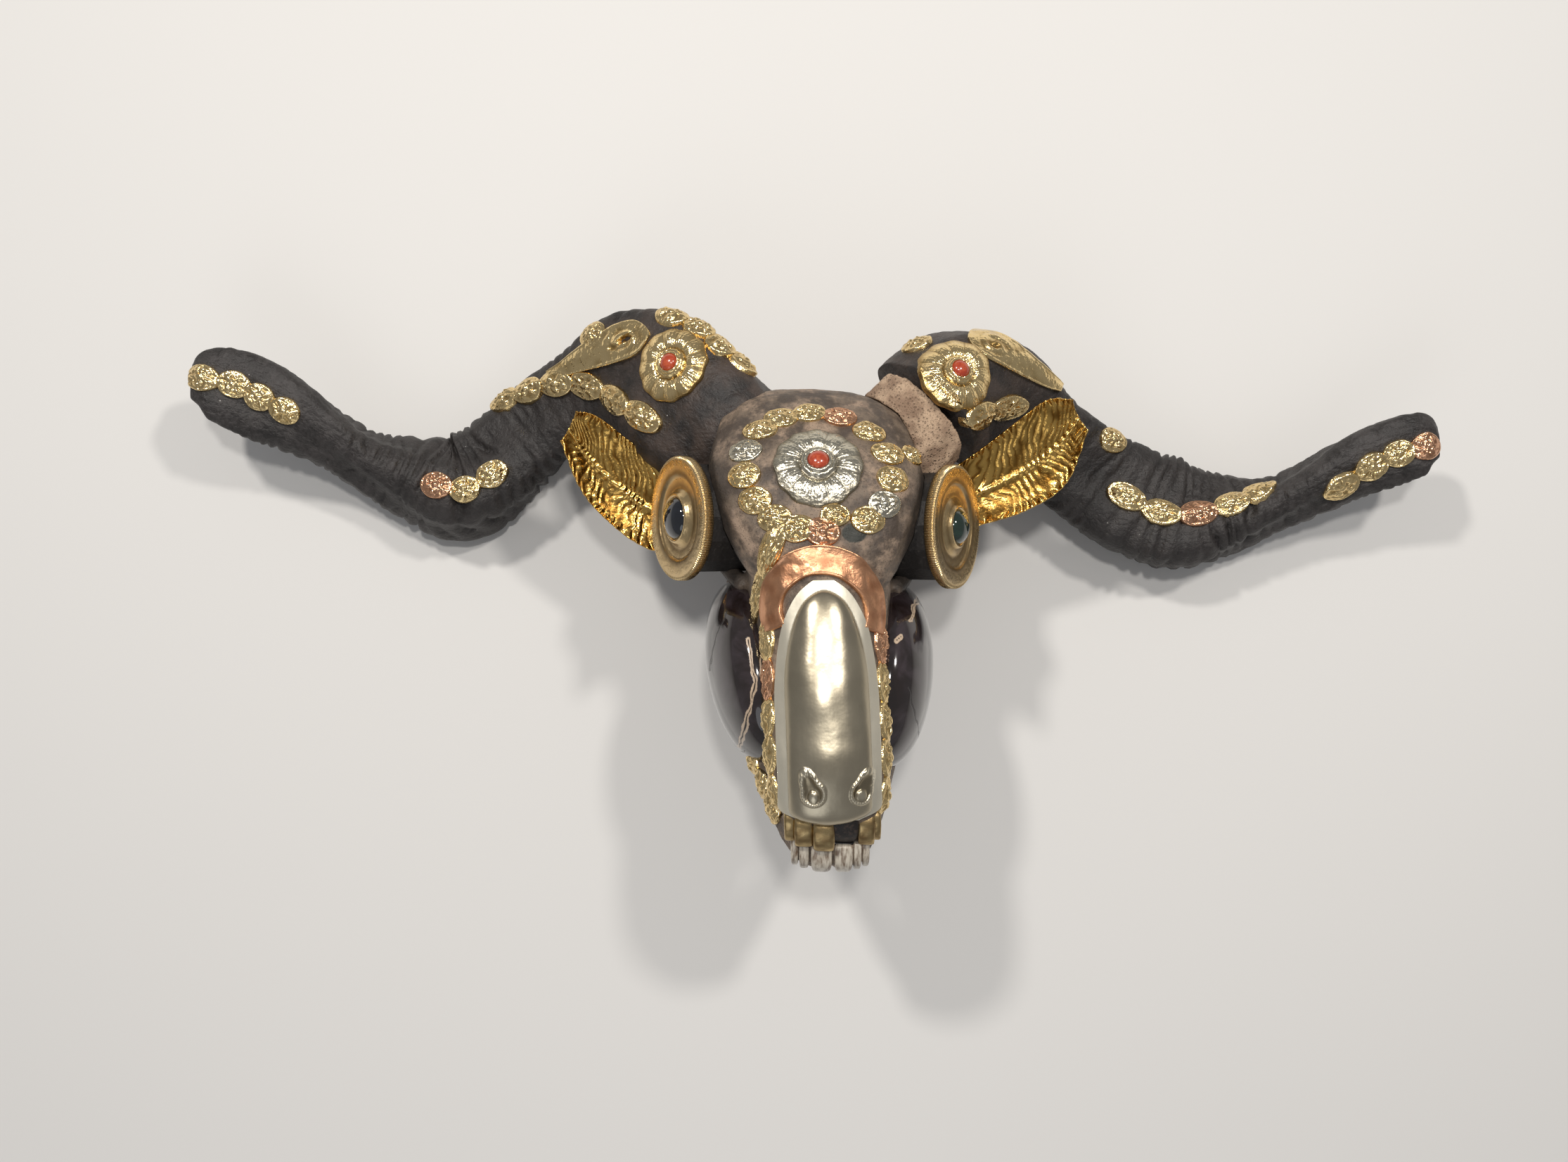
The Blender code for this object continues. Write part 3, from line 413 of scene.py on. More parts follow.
def horn(node, rows, turn, start):
    centres = [Vector(row[:3]) for row in rows]
    points, along_values, grain, folds, bare = [], [], [], [], []
    length = 0.0
    for index, row in enumerate(rows):
        length += (centres[index] - centres[max(index - 1, 0)]).length
        ahead = heading(centres, index).normalized()
        wide = ahead.cross(Vector((0, 0, 1))).normalized()
        deep = wide.cross(ahead).normalized()
        along = index / (len(rows) - 1)
        for angle in angles(HORN_SIDES):
            keel = cos(KEELS * (angle - radians(90) - turn * along))
            crest = max(0.0, keel) ** 5
            x, y = rounded(angle, HORN_POWER)
            spot = (wide * (row[3] * x) + deep * (row[4] * y)) * (1.0 + KEEL_SWELL * keel)
            out = spot.normalized()
            ends = sin(pi * along) ** 0.5
            spot += out * (KEEL_SHARP * crest - KEEL_HOLLOW * max(0.0, -keel) * ends)
            # The second value is the share of painted highlight on the wrinkle crests.
            fold, shine = wrinkle(length, start + (1 - start) * along, angle, crest)
            for places, extra in ((points, fold), (bare, ENVELOPE)):
                point = centres[index] + spot + out * extra
                point.z = max(point.z, 0.0)
                places.append(point)
            along_values.append(start + (1 - start) * along)
            grain.append((length / 14.0, 6 * cos(angle), 6 * sin(angle)))
            folds.append(min(1.0, shine))
    faces = grid_faces(len(rows), HORN_SIDES, True)
    for ring in (0, len(rows) - 1):
        points.append(centres[ring])
        bare.append(centres[ring])
        along_values.append(start if ring == 0 else 1.0)
        grain.append((0.0, 0.0, 0.0))
        folds.append(0.0)
        first = ring * HORN_SIDES
        faces += [(len(points) - 1, first + k, first + (k + 1) % HORN_SIDES) for k in range(HORN_SIDES)]
    SHAPES[node] = BVHTree.FromPolygons(bare, [face[::-1] for face in faces])
    return piece_of(node + "_skin", points, faces, along=along_values, grain=grain, folds=folds)


horn_material = horn_look()
for horn_node, horn_line, horn_turn, horn_start in (("horn_left", LEFT_HORN, -HORN_TURN, 0.0),
                                                    ("horn_right", RIGHT_HORN, HORN_TURN, RIGHT_HORN_START)):
    horn_rows = smooth_rows(horn_line, HORN_STEPS)[round(horn_start * HORN_STEPS):]
    horn_piece = horn(horn_node, horn_rows, horn_turn, horn_start / (len(horn_line) - 1))
    dress(horn_piece, horn_node, horn_material)

# The bone core of the right horn: pale, porous bone that shows where the sheath has broken away. It is the
# solid, smoothed and pitted, and it stands between the skull and the sheath.
CORE_PALE = (0.50, 0.36, 0.245)
CORE_PIT = (0.17, 0.10, 0.065)
CORE_VOXEL = 1.1


def core_look():
    look = Look("horn_core", roughness=0.85)
    pits = look.cells(2.0).step(0.05, 0.40)
    small = look.cells(0.9).step(0.05, 0.40)
    colour = look.mix(pits * 0.35 + small * 0.25 + 0.40, CORE_PIT, CORE_PALE)
    colour = look.mix((look.noise(12.0, 4.0) + small * 0.1).step(0.45, 0.75) * 0.75, colour, CORE_PIT)
    return look.finish(Base_Color=colour, Normal=look.bump(pits * 0.7 + small * 0.3, 1.1))


dress(smoothed("horn_core_right", CORE_VOXEL, 0.6, 5.0), "horn_core_right", core_look())

# Medallions: small ovals of embossed sheet, glued on, with a beaded rim and petals and scrolls round a boss.
# Single ones sit in a ring on the forehead, and rows of them lap along the horns, the muzzle and the jaw.
# The metal is worn bright on its heights, and each piece keeps its relief, from 0 to 1, for its colour.
COPPER_HOLLOW, COPPER_HEIGHT = (0.33, 0.155, 0.080), (0.80, 0.45, 0.27)


def metal_look(name, hollow, height, rough_low, rough_high, crumple=0.9, second=None):
    look = Look(name, metallic=1.0)
    scratch = look.noise(1.4, 5.0)
    share = (look.stored("relief") * 0.9 + look.noise(7.0, 5.0) * 0.4 - 0.15).step(0.05, 0.75)
    colour = look.mix(share, hollow, height)
    if second:
        colour = look.mix(look.stored("copper"), colour, look.mix(share, *second))
    colour = look.mix(scratch.step(0.60, 0.80) * 0.30, colour, hollow)
    rough = rough_high - (rough_high - rough_low) * share + (scratch - 0.5) * 0.10
    normal = look.bump(look.noise(3.6, 2.0), crumple)
    return look.finish(Base_Color=colour, Roughness=rough, Normal=normal)


metals = {
    "brass": metal_look("brass", (0.36, 0.235, 0.085), (0.90, 0.685, 0.345), 0.17, 0.38,
                        second=(COPPER_HOLLOW, COPPER_HEIGHT)),
    "silver": metal_look("silver", (0.21, 0.185, 0.140), (0.60, 0.56, 0.45), 0.26, 0.46),
    "copper": metal_look("copper", COPPER_HOLLOW, COPPER_HEIGHT, 0.24, 0.45),
    "gilt_ears": metal_look("gilt_ears", (0.19, 0.090, 0.016), (0.76, 0.47, 0.13), 0.18, 0.36, crumple=0.6),
}

DOWN = Vector((0, 0, -1))
MEDALLION_LENGTH = 20.0
MEDALLION_WIDTH = 17.0
MEDALLION_RINGS = 20
MEDALLION_SPOKES = 72
MEDALLION_BEADS = 30
RIM_SHARE = 0.86
BOSS_SHARE = 0.22
CAST_HEIGHT = 60.0
FAR_DROP = 14.0
SHEET_LIFT = 0.9
SKIRT = 2.2


def drop(shape, point, direction):
    place, normal, _, _ = shape.ray_cast(point - direction * CAST_HEIGHT, direction)
    return place, normal


def clamp(x):
    return min(1.0, max(0.0, x))


def medallion_height(share, angle, petals, phase, seed):
    """Height in millimetres at a share of the radius, and how bright the metal is worn there."""
    place = Vector((3.1 * cos(angle) * share, 3.1 * sin(angle) * share, seed))
    dent = 0.55 * noise(place * 0.8)
    dome = 1.9 * (1 - share ** 2.4) + dent
    if share > RIM_SHARE:
        bead = abs(sin(0.5 * MEDALLION_BEADS * angle))
        raised = sin(pi * min(1.0, (share - RIM_SHARE) / (1 - RIM_SHARE)))
        return dome + 0.45 * raised * (0.4 + 0.6 * bead), 0.5 + 0.5 * raised * bead
    if share < BOSS_SHARE:
        raised = sqrt(1 - (share / BOSS_SHARE) ** 2)
        return dome + 1.1 * raised, 0.3 + 0.7 * raised
    wave = cos(petals * (angle - phase))
    petal = max(0.0, wave) ** 0.6 * sin(pi * (share - BOSS_SHARE) / 0.62) if share < 0.84 else 0.0
    scroll = noise(place) * 1.6
    leaf = 0.40 * sin(7 * share + 4 * scroll) * sin(pi * (share - BOSS_SHARE) / 0.64)
    return dome + 0.7 * petal + leaf, clamp(0.50 + 0.4 * petal + 0.8 * leaf)


class Draped:
    """Points that grow into one mesh, laid on a shape."""

    def __init__(self, shape):
        self.shape = shape
        self.points, self.faces, self.relief, self.copper = [], [], [], []

    def add(self, points, faces, relief, copper=0.0):
        self.faces += [tuple(v + len(self.points) for v in face) for face in faces]
        self.points += points
        self.relief += relief
        self.copper += [copper] * len(points)

    def disc(self, point, direction, half_length, half_width, height_at, along=None, turn=0.0,
             rings=MEDALLION_RINGS, spokes=MEDALLION_SPOKES, tilt=0.0, lobes=0, copper=0.0):
        place, normal = drop(self.shape, point, direction)
        guide = along or Vector((1, 0, 0))
        first = (guide - normal * normal.dot(guide)).normalized()
        first = Matrix.Rotation(turn, 3, normal) @ first
        second = normal.cross(first)
        points, relief = [], []
        for ring in range(rings + 2):
            share = min(1.0, max(0.0001, ring / rings))
            for angle in angles(spokes):
                ragged = 0.5 * noise(Vector((1.3 * cos(angle), 1.3 * sin(angle), place.x)))
                swell = 1.0 + (0.018 * cos(lobes * angle) if lobes else 0.09 * ragged * share)
                x = half_length * share * swell * cos(angle)
                y = half_width * share * swell * sin(angle)
                flat = place + first * x + second * y
                hit, _ = drop(self.shape, flat, -normal)
                base = hit if hit is not None and (hit - flat).length < FAR_DROP else flat - normal * 5
                height, bright = height_at(share, angle)
                height += SHEET_LIFT + tilt * (1 + x / half_length)
                points.append(base + normal * (-SKIRT if ring > rings else height))
                relief.append(bright)
        self.add(points, grid_faces(rings + 2, spokes, True), relief, copper)
        return place, normal

    def build(self, name):
        return piece_of(name, self.points, self.faces, relief=self.relief, copper=self.copper)


rng = random.Random(11)


def medallion(draped, point, direction, length=MEDALLION_LENGTH, width=MEDALLION_WIDTH, **options):
    petals = rng.choice((5, 6, 7, 8))
    phase = rng.uniform(0, pi)
    seed = rng.uniform(0, 50)
    draped.disc(point, direction, length / 2, width / 2,
                lambda share, angle: medallion_height(share, angle, petals, phase, seed), **options)


def medallion_row(node, carrier, places, direction, reach=MEDALLION_LENGTH, width=MEDALLION_WIDTH,
                  copper=()):
    draped = Draped(SHAPES[carrier])
    spots = [drop(draped.shape, point, direction)[0] for point in places]
    for index, point in enumerate(places):
        first, last = max(index - 1, 0), min(index + 1, len(places) - 1)
        along = (spots[last] - spots[first]) / max(1, last - first)
        medallion(draped, point, direction, max(reach, 1.14 * along.length), width,
                  along=along.normalized() if last > first else None, tilt=0.35,
                  copper=float(index in copper))
    dress(draped.build(node + "_chased"), node, metals["brass"])


# Places on the skull: side is to the right, front is towards the muzzle along the palate, and top is at
# right angles to it. The skull is pitched up, rolled a little and turned a little to the right.
PITCH = radians(35.0)
ROLL = radians(1.7)
LEAN = radians(2.6)
CONDYLE = Vector((16.5, 61.0, 42.5))
SIDE = (Matrix.Rotation(-ROLL, 3, "Z") @ Vector((1, 0, -0.02))).normalized()
FRONT = Matrix.Rotation(LEAN, 3, "Z") @ Vector((0, -cos(PITCH), sin(PITCH)))
TOP = Vector((0, sin(PITCH), cos(PITCH)))


def skull_point(side, front, top):
    return CONDYLE + SIDE * side + FRONT * front + TOP * top


RING_RADIUS = 42.0
RING_FRONT_RADIUS = 37.5
RING_CENTRE_FRONT = 70.0
RING_WIDTH = 16.0
RING_TURN = radians(8)
RING_ANGLES = [94, 70, 43, 18, -6, -31, -51, -89, -108, -127, -149, -173, -196, -221, -242.5]
RING_METALS = {1: "copper", 5: "silver", 7: "copper", 12: "silver"}

for ring_index, ring_degrees in enumerate(RING_ANGLES):
    ring_metal = RING_METALS.get(ring_index, "brass")
    ring_angle = radians(ring_degrees)
    ring_reach = RING_RADIUS if sin(ring_angle) > 0 else RING_FRONT_RADIUS
    ring_point = skull_point(RING_RADIUS * cos(ring_angle),
                             RING_CENTRE_FRONT - ring_reach * sin(ring_angle), 104)
    ring_turn = 0.0 if abs(cos(ring_angle)) > 0.5 else RING_TURN * (-1) ** ring_index
    ring_node = "forehead_medallion_%02d" % (ring_index + 1)
    ring_draped = Draped(SHAPES["skull"])
    medallion(ring_draped, ring_point, -TOP, width=RING_WIDTH, turn=ring_turn, tilt=0.25 * (ring_index % 2))
    dress(ring_draped.build(ring_node + "_chased"), ring_node, metals[ring_metal])

HORN_ROWS = {
    "horn_row_left_top": [(-68, 161), (-51, 153), (-38, 141), (-24, 130)],
    "horn_row_left_inner": [(-181, 117), (-164, 122), (-144, 125), (-123, 122), (-104, 111), (-86, 99)],
    "horn_row_left_dip": [(-221, 61), (-203, 58.5), (-186, 68)],
    "horn_row_left_tip": [(-314, 107), (-329, 115.5), (-344, 123), (-364, 127)],
    "horn_row_left_back": [(-119, 153)],
    "horn_row_right_inner": [(119, 99), (137, 106)],
    "horn_row_right_dip": [(219, 54), (241, 44), (264, 43.5), (286, 50), (305, 58)],
    "horn_row_right_tip": [(352, 60), (369, 72), (385, 80), (401, 84)],
    "horn_row_right_edge": [(81, 144)],
    "horn_row_right_back": [(210, 90)],
}
COPPER_ONES = {"horn_row_left_dip": (0,), "horn_row_right_dip": (2,), "horn_row_right_tip": (3,)}
PLAN_HEIGHT = 100.0
MUZZLE_ROW = [(152, 52), (171, 42), (190, 32), (208, 22.5), (225, 11)]
JAW_ROW = [(168, -28), (185, -26), (202, -24), (218, -23)]
SIDE_REACH = 45
SIDE_WIDTH = 15.0
SMALL_WIDTH = 13.0


def plan(x, y):
    """A place seen from above, at a height inside the horns."""
    return Vector((x, y, PLAN_HEIGHT))


def side_row(node, carrier, side, places, **options):
    medallion_row(node, carrier, [skull_point(side * SIDE_REACH, front, top) for front, top in places],
                  -side * SIDE, width=SIDE_WIDTH, **options)


for row_node, row_places in HORN_ROWS.items():
    medallion_row(row_node, "horn_left" if "left" in row_node else "horn_right",
                  [plan(x, y) for x, y in row_places], DOWN, copper=COPPER_ONES.get(row_node, ()))
side_row("muzzle_row_left", "skull", -1, MUZZLE_ROW, copper=(1,))
side_row("muzzle_row_right", "skull", 1, MUZZLE_ROW, copper=(0,))
side_row("jaw_row_left", "mandible", -1, JAW_ROW)
for small_node, small_reach, small_places in (
        ("inner", 17.0, [(8, 98.5, 100)]), ("outer", 15.0, [(55, 51, 98)]),
        ("side", 16.0, [(-28, 114, 90), (-36, 127, 80)])):
    medallion_row("forehead_medallion_" + small_node, "skull",
                  [skull_point(*place) for place in small_places], -TOP, small_reach, SMALL_WIDTH)

# Rosettes: twelve ribbed petals round a plain ring, with a coral bead held in a collar in the middle. The
# silver one is in the middle of the forehead, and a brass one is on each horn.
ROSETTE_RADIUS = 25.0
HORN_ROSETTE_RADIUS = 22.5
PETALS = 12
ROSETTE_RINGS = 44
ROSETTE_SPOKES = 240
BEAD_COLLAR = [(5.8, 5.4), (6.6, 5.9), (7.8, 5.3), (8.3, 3.8)]
CORAL_RED = (0.36, 0.040, 0.014)
CORAL_PALE = (0.50, 0.095, 0.036)


def rosette_height(share, angle):
    turned = 0.5 * PETALS * angle
    petal = 0.35 + 0.65 * abs(cos(turned)) ** 0.55
    rib = 0.5 + 0.5 * cos(tau * 5 * (angle * PETALS / (tau) % 1.0))
    if share < 0.40:
        raised = sin(pi * clamp((share - 0.28) / 0.12))
        return 3.0 + 0.9 * raised, 0.3 + 0.7 * raised
    body = sin(pi * min(1.0, (share - 0.40) / 0.62) ** 0.8)
    height = 1.0 + 2.4 * body * (0.55 + 0.45 * petal) + 0.22 * rib * body * petal
    return height, min(1.0, 0.1 + 0.75 * petal * body + 0.25 * rib * body)


def coral_look():
    look = Look("coral", roughness=0.22, coat_weight=0.6)
    colour = look.mix(look.noise(3.0, 5.0, distortion=1.0).step(0.35, 0.75), CORAL_RED, CORAL_PALE)
    return look.finish(Base_Color=colour, Normal=look.bump(look.noise(1.2, 4.0), 0.05))


def turned(profile, centre, axis, steps, radius_at=None):
    """Points and squares of a turned shape, from rows of radius and height along an axis."""
    axis = axis.normalized()
    first = axis.cross(Vector((0, 1, 0.1))).normalized()
    second = axis.cross(first)
    points = []
    for radius, height in profile:
        for angle in angles(steps):
            grow = radius_at(radius, height, angle) if radius_at else 0.0
            points.append(centre + (first * cos(angle) + second * sin(angle)) * (radius + grow)
                          + axis * (height + 0.6 * grow))
    return points, grid_faces(len(profile), steps, True)


def cabochon(radius, base, height, rows=14):
    """The profile of a domed bead, from its top to its foot."""
    dome = [(radius * sin(t), base + height * cos(t))
            for t in (0.5 * pi * k / rows for k in range(rows + 1))]
    dome[0] = (0.001, dome[0][1])
    return dome + [(radius, base - 3.0)]


coral = coral_look()


def rosette(node, bead_node, carrier, point, direction, radius, metal):
    draped = Draped(SHAPES[carrier])
    place, normal = draped.disc(point, direction, radius, radius, rosette_height, rings=ROSETTE_RINGS,
                                spokes=ROSETTE_SPOKES, lobes=PETALS)
    size = radius / ROSETTE_RADIUS
    collar = [(5.6 * size, 3.0), *((x * size, z * size) for x, z in BEAD_COLLAR), (8.4 * size, 2.0)]
    points, faces = turned(collar, place, normal, 60)
    draped.add(points, faces, [0.9] * len(points))
    dress(draped.build(node + "_chased"), node, metals[metal])
    points, faces = turned(cabochon(5.9 * size, 4.4 * size, 3.9 * size), place, normal, 40)
    dress(piece_of(bead_node + "_bead", points, faces), bead_node, coral)


rosette("forehead_rosette", "forehead_coral", "skull", skull_point(0, RING_CENTRE_FRONT, 104), -TOP,
        ROSETTE_RADIUS, "silver")
for rosette_side, rosette_place in (("_left", (-67, 129)), ("_right", (103, 124))):
    rosette("horn_rosette" + rosette_side, "horn_coral" + rosette_side, "horn" + rosette_side,
            plan(*rosette_place), DOWN, HORN_ROSETTE_RADIUS, "brass")


# The leaves on the horns: brass sheet, long and pointed, bent over the crest of each horn and glued. Each is
# a strip: a sheet that follows a line over a shape, as the nose plate and its collar do too.
def strip(name, shape, rows, halves, direction_at, across, height_at, soften=6):
    """A sheet with so many rounds of easing over the small bumps of the shape that it lies on."""
    bases, lifts = [], []
    count, columns = len(rows), across + 2
    shares = [min(1.0, max(-1.0, 2 * (k - 1) / (across - 1) - 1)) for k in range(columns)]
    for index in range(count):
        direction = direction_at(index / (count - 1))
        sideways = direction.cross(heading(rows, index)).normalized()
        for v in shares:
            flat = rows[index] + sideways * (halves[index] * v)
            base, normal = drop(shape, flat, direction)
            if base is None:
                base, normal, _, _ = shape.find_nearest(flat)
            bases.append(base)
            lifts.append((normal * 0.6 - direction * 0.4).normalized())
    grid = np.concatenate([np.reshape(part, (count, columns, 3)) for part in (bases, lifts)], 2)
    for _ in range(soften):
        wide = np.pad(grid, ((1, 1), (1, 1), (0, 0)), mode="reflect", reflect_type="odd")
        grid = (wide[:-2, 1:-1] + wide[2:, 1:-1] + wide[1:-1, :-2] + wide[1:-1, 2:] + 4 * grid) / 8
    points, relief, border = [], [], []
    for index in range(count):
        for k, v in enumerate(shares):
            base, lift = Vector(grid[index, k, :3]), Vector(grid[index, k, 3:]).normalized()
            height, bright, rim = height_at(index / (count - 1), v, base)
            on_edge = k in (0, across + 1) or index in (0, count - 1)
            points.append(base + lift * (-SKIRT if on_edge else height))
            relief.append(bright)
            border.append(rim)
    return piece_of(name, points, grid_faces(count, columns, False), relief=relief, border=border)


LEFT_LEAF = [(-150, 130, 2.5), (-138, 134, 5), (-124, 139, 8), (-108, 144, 11), (-93, 148, 11.5),
             (-81, 150, 6)]
RIGHT_LEAF = [(173, 120, 2.5), (164, 124, 5), (152, 130, 7), (137, 138, 9.5), (122, 145, 10), (111, 148, 6)]
LEAF_CURL = (0.72, 0.0)
LEAF_STEPS = 24
LEAF_ACROSS = 61
LEAF_ROUND = 0.86


def leaf_height(along, v, base, slot_depth):
    """Nearly smooth sheet with a curl beaten into its broad end and soft ripples towards its point."""
    x, y = (along - LEAF_CURL[0]) / 0.16, (v - LEAF_CURL[1]) / 0.75
    reach, angle = hypot(x, y), atan2(y, x)
    curl = max(0.0, 1 - reach) ** 0.5 * cos(tau * 1.6 * reach - angle) if reach < 1 else 0.0
    ripple = 0.5 * noise(Vector((base.x / 6, base.y / 6, 3.0)))
    rim = bell(abs(v), 0.9, 0.07)
    slot = exp(-((x - 0.15) / 0.50) ** 2 - ((y + 0.30 * x) / 0.20) ** 4)
    height = 1.7 + ripple + 0.9 * curl + 0.4 * rim - slot_depth * slot
    return height, clamp(0.62 + 0.4 * curl + 0.3 * rim + ripple - slot), 0.0


for leaf_side, leaf_line, leaf_slot in (("_left", LEFT_LEAF, 3.2), ("_right", RIGHT_LEAF, 0.0)):
    leaf_rows = smooth_rows(leaf_line, LEAF_STEPS)
    leaf_ends = np.clip((np.linspace(0, 1, len(leaf_rows)) - LEAF_ROUND) / (1 - LEAF_ROUND), 0, 0.99)
    leaf_piece = strip("horn_leaf%s_chased" % leaf_side, SHAPES["horn" + leaf_side],
                       [plan(x, y) for x, y, _ in leaf_rows], leaf_rows[:, 2] * np.sqrt(1 - leaf_ends ** 2),
                       lambda along: DOWN, LEAF_ACROSS,
                       lambda along, v, base: leaf_height(along, v, base, leaf_slot))
    dress(leaf_piece, "horn_leaf" + leaf_side, metals["brass"])

# The nose plate: polished silver sheet with a flat, paler border, raised over the nose and bent down at its
# end, with two drop shaped nostrils in beaded rims.
PLATE_WIDTH = 55.0
PLATE_LINE = [(131, 74), (148, 65), (169, 54), (190, 43), (210, 32), (226, 20), (235.5, 8.5), (239, 1)]
PLATE_TURNS = (27.0, 30.0, 60.0)
PLATE_ROWS = 30
PLATE_ACROSS = 121
PLATE_ARCH = 0.42
PLATE_LIFT = 8.0
PLATE_END = 0.86
PLATE_ROUNDS = 60
PLATE_BORDER_HEIGHT = 3.0
DOME_HEIGHT = 7.0
DOME_ACROSS = 0.80
DOME_UP = 0.88
NOSTRILS = [(16.0, -112.5, 0.38), (41.0, -112.5, -0.38)]
NOSTRIL_RADIUS = 5.4
NOSTRIL_TIP = 1.05
NOSTRIL_BEADS = 26


def plate_direction(along):
    low, middle, end = PLATE_TURNS
    angle = low + (middle - low) * along if along < 0.62 else middle + (end - middle) * (along - 0.62) / 0.38
    angle = radians(angle)
    return -(FRONT * sin(angle) + TOP * cos(angle)).normalized()


def nostril(base):
    """The relief of the nostrils: a hollow with a ball in it, inside a rim of beads."""
    for x, y, lean in NOSTRILS:
        dx, dy = base.x - x, base.y - y
        angle = atan2(dx, dy) + lean
        reach = hypot(dx, dy) / (NOSTRIL_RADIUS * (1 + NOSTRIL_TIP * max(0.0, cos(angle)) ** 7))
        if reach > 1.25:
            continue
        if reach > 0.80:
            raised = sin(pi * (reach - 0.80) / 0.45)
            bead = 0.5 + 0.5 * cos(NOSTRIL_BEADS * angle)
            return raised * (0.75 + 0.65 * bead), 0.35 + 0.65 * raised
        ball = max(0.0, 1 - (hypot(dx, dy + 1.6) / 3.0) ** 2)
        return -1.3 * (1 - (reach / 0.80) ** 4) + 1.9 * sqrt(ball), 0.15 + 0.85 * ball
    return None


def plate_height(along, v, base):
    up = max(0.0, 1 - along / PLATE_ARCH)
    out = v * sqrt(1 - up * up) / DOME_ACROSS
    low = max(0.0, (along - 0.8) / 0.2)
    inside = 1 - out * out - (up / DOME_UP) ** 2
    rise = sqrt(max(0.0, inside) * (1 - 0.8 * low * low))
    step = clamp(inside / 0.05)
    relief, bright = nostril(base) or (0.0, 0.45 + 0.25 * rise)
    dent = 1.6 * noise(base / 30.0)
    return PLATE_BORDER_HEIGHT + DOME_HEIGHT * rise + relief + dent * step, bright, 1.0 - step


def plate_look():
    look = Look("nose_plate", metallic=1.0)
    border = look.stored("border")
    cloud = look.noise(24.0, 4.0)
    scratch = look.noise(1.0, 6.0, where=look.place((1.0, 0.12, 0.12)))
    darkening = look.noise(9.0, 6.0, distortion=0.5)
    colour = look.mix(look.stored("relief") * 0.9 + (cloud - 0.5) * 0.4,
                      (0.24, 0.195, 0.125), (0.66, 0.595, 0.455))
    colour = look.mix(darkening.step(0.62, 0.80) * 0.25, colour, (0.20, 0.155, 0.10))
    colour = look.mix(border * 0.9, colour, (0.82, 0.77, 0.64))
    rough = 0.25 + cloud * 0.12 + border * 0.20 + (scratch - 0.5) * 0.06
    return look.finish(Base_Color=colour, Roughness=rough, Normal=look.bump(cloud, 0.5))


plate_centres = smooth_rows(PLATE_LINE, PLATE_ROWS)
plate_rows = [skull_point(0, front, top + PLATE_LIFT) for front, top in plate_centres]
plate_halves = []
for plate_index in range(len(plate_rows)):
    plate_along = plate_index / (len(plate_rows) - 1)
    top_share = sqrt(1 - max(0.0, 1 - plate_along / PLATE_ARCH) ** 2)
    end_share = sqrt(1 - max(0.0, (plate_along - PLATE_END) / (1 - PLATE_END)) ** 2.6)
    plate_halves.append(PLATE_WIDTH / 2 * max(0.16, top_share) * max(0.55, end_share))
plate_piece = strip("nose_plate_sheet", SHAPES["skull"], plate_rows, plate_halves, plate_direction,
                    PLATE_ACROSS, plate_height, soften=PLATE_ROUNDS)
dress(plate_piece, "nose_plate", plate_look())

# The collar above the plate: one bent strip of beaten copper on the bone, with arms that run down beside
# the plate's upper end.
COLLAR_LINE = [(-32, 154), (-31, 141), (-25.5, 130), (-14, 124), (0, 122.5), (14, 124), (25.5, 130),
               (31, 141), (32, 154)]
COLLAR_TILT = radians(42)
COLLAR_HALF = 8.2
COLLAR_BEND = 0.022
COLLAR_STEPS = 20
COLLAR_ACROSS = 33


def collar_direction(along):
    tilt = COLLAR_TILT * (2 * along - 1)
    return -(SIDE * sin(tilt) + FRONT * 0.35 + TOP * cos(tilt)).normalized()


def collar_height(along, v, base):
    beaten = noise(base / 7.0)
    rim = bell(abs(v), 0.93, 0.05)
    return 2.8 + 0.5 * beaten + 0.4 * rim, 0.5 + 0.5 * beaten + 0.3 * rim, 0.0


collar_rows = [skull_point(x, front, 90 - COLLAR_BEND * x * x)
               for x, front in smooth_rows(COLLAR_LINE, COLLAR_STEPS)]
collar_piece = strip("nose_collar_sheet", SHAPES["skull"], collar_rows, [COLLAR_HALF] * len(collar_rows),
                     collar_direction, COLLAR_ACROSS, collar_height)
dress(collar_piece, "nose_collar",
      metal_look("beaten_copper", (0.36, 0.165, 0.085), (0.70, 0.37, 0.21), 0.34, 0.50, crumple=0.4))

# Eyes: a stepped brass disc with a milled rim on a dark cup, and a glass bead in a collar. The left bead is
# dark blue and larger, and the right one is dark green.
EYE_FRONT = 75.0
EYE_TOP = 60.0
EYE_SPREAD = 80.5
SIDE_NAMES = {-1: "left", 1: "right"}
EYE_TILTS = {-1: radians(30.0), 1: radians(28.5)}
DISC_RADIUS = 36.0
DISC_THICKNESS = 5.0
BEAD_RADII = {-1: 12.5, 1: 10.5}
BEAD_COLOURS = {-1: (0.0035, 0.0050, 0.0085), 1: (0.006, 0.018, 0.012)}
MILLING = 150
DISC_STEPS = 900


def rim_wave(radius, height, angle):
    """The slanting notches of the milled rim."""
    near_rim = exp(-((radius - DISC_RADIUS) / 1.6) ** 4) * (height > 0.6 - DISC_THICKNESS)
    return 0.38 * near_rim * cos(MILLING * angle)


def glass_look(name, colour):
    look = Look(name, roughness=0.06, coat_weight=1.0)
    haze = look.noise(5.0, 3.0).step(0.4, 0.8) * 0.5
    return look.finish(Base_Color=look.mix(haze, colour, tuple(2.5 * c for c in colour)))


disc_brass = metal_look("disc_brass", (0.24, 0.165, 0.080), (0.66, 0.49, 0.26), 0.26, 0.42, crumple=0.25)


def eye_place(side):
    """The middle of an eye, and the way that it looks."""
    tilt = EYE_TILTS[side]
    axis = Vector((side * cos(tilt), -0.02, sin(tilt)))
    return skull_point(side * EYE_SPREAD, EYE_FRONT, EYE_TOP), axis.normalized()


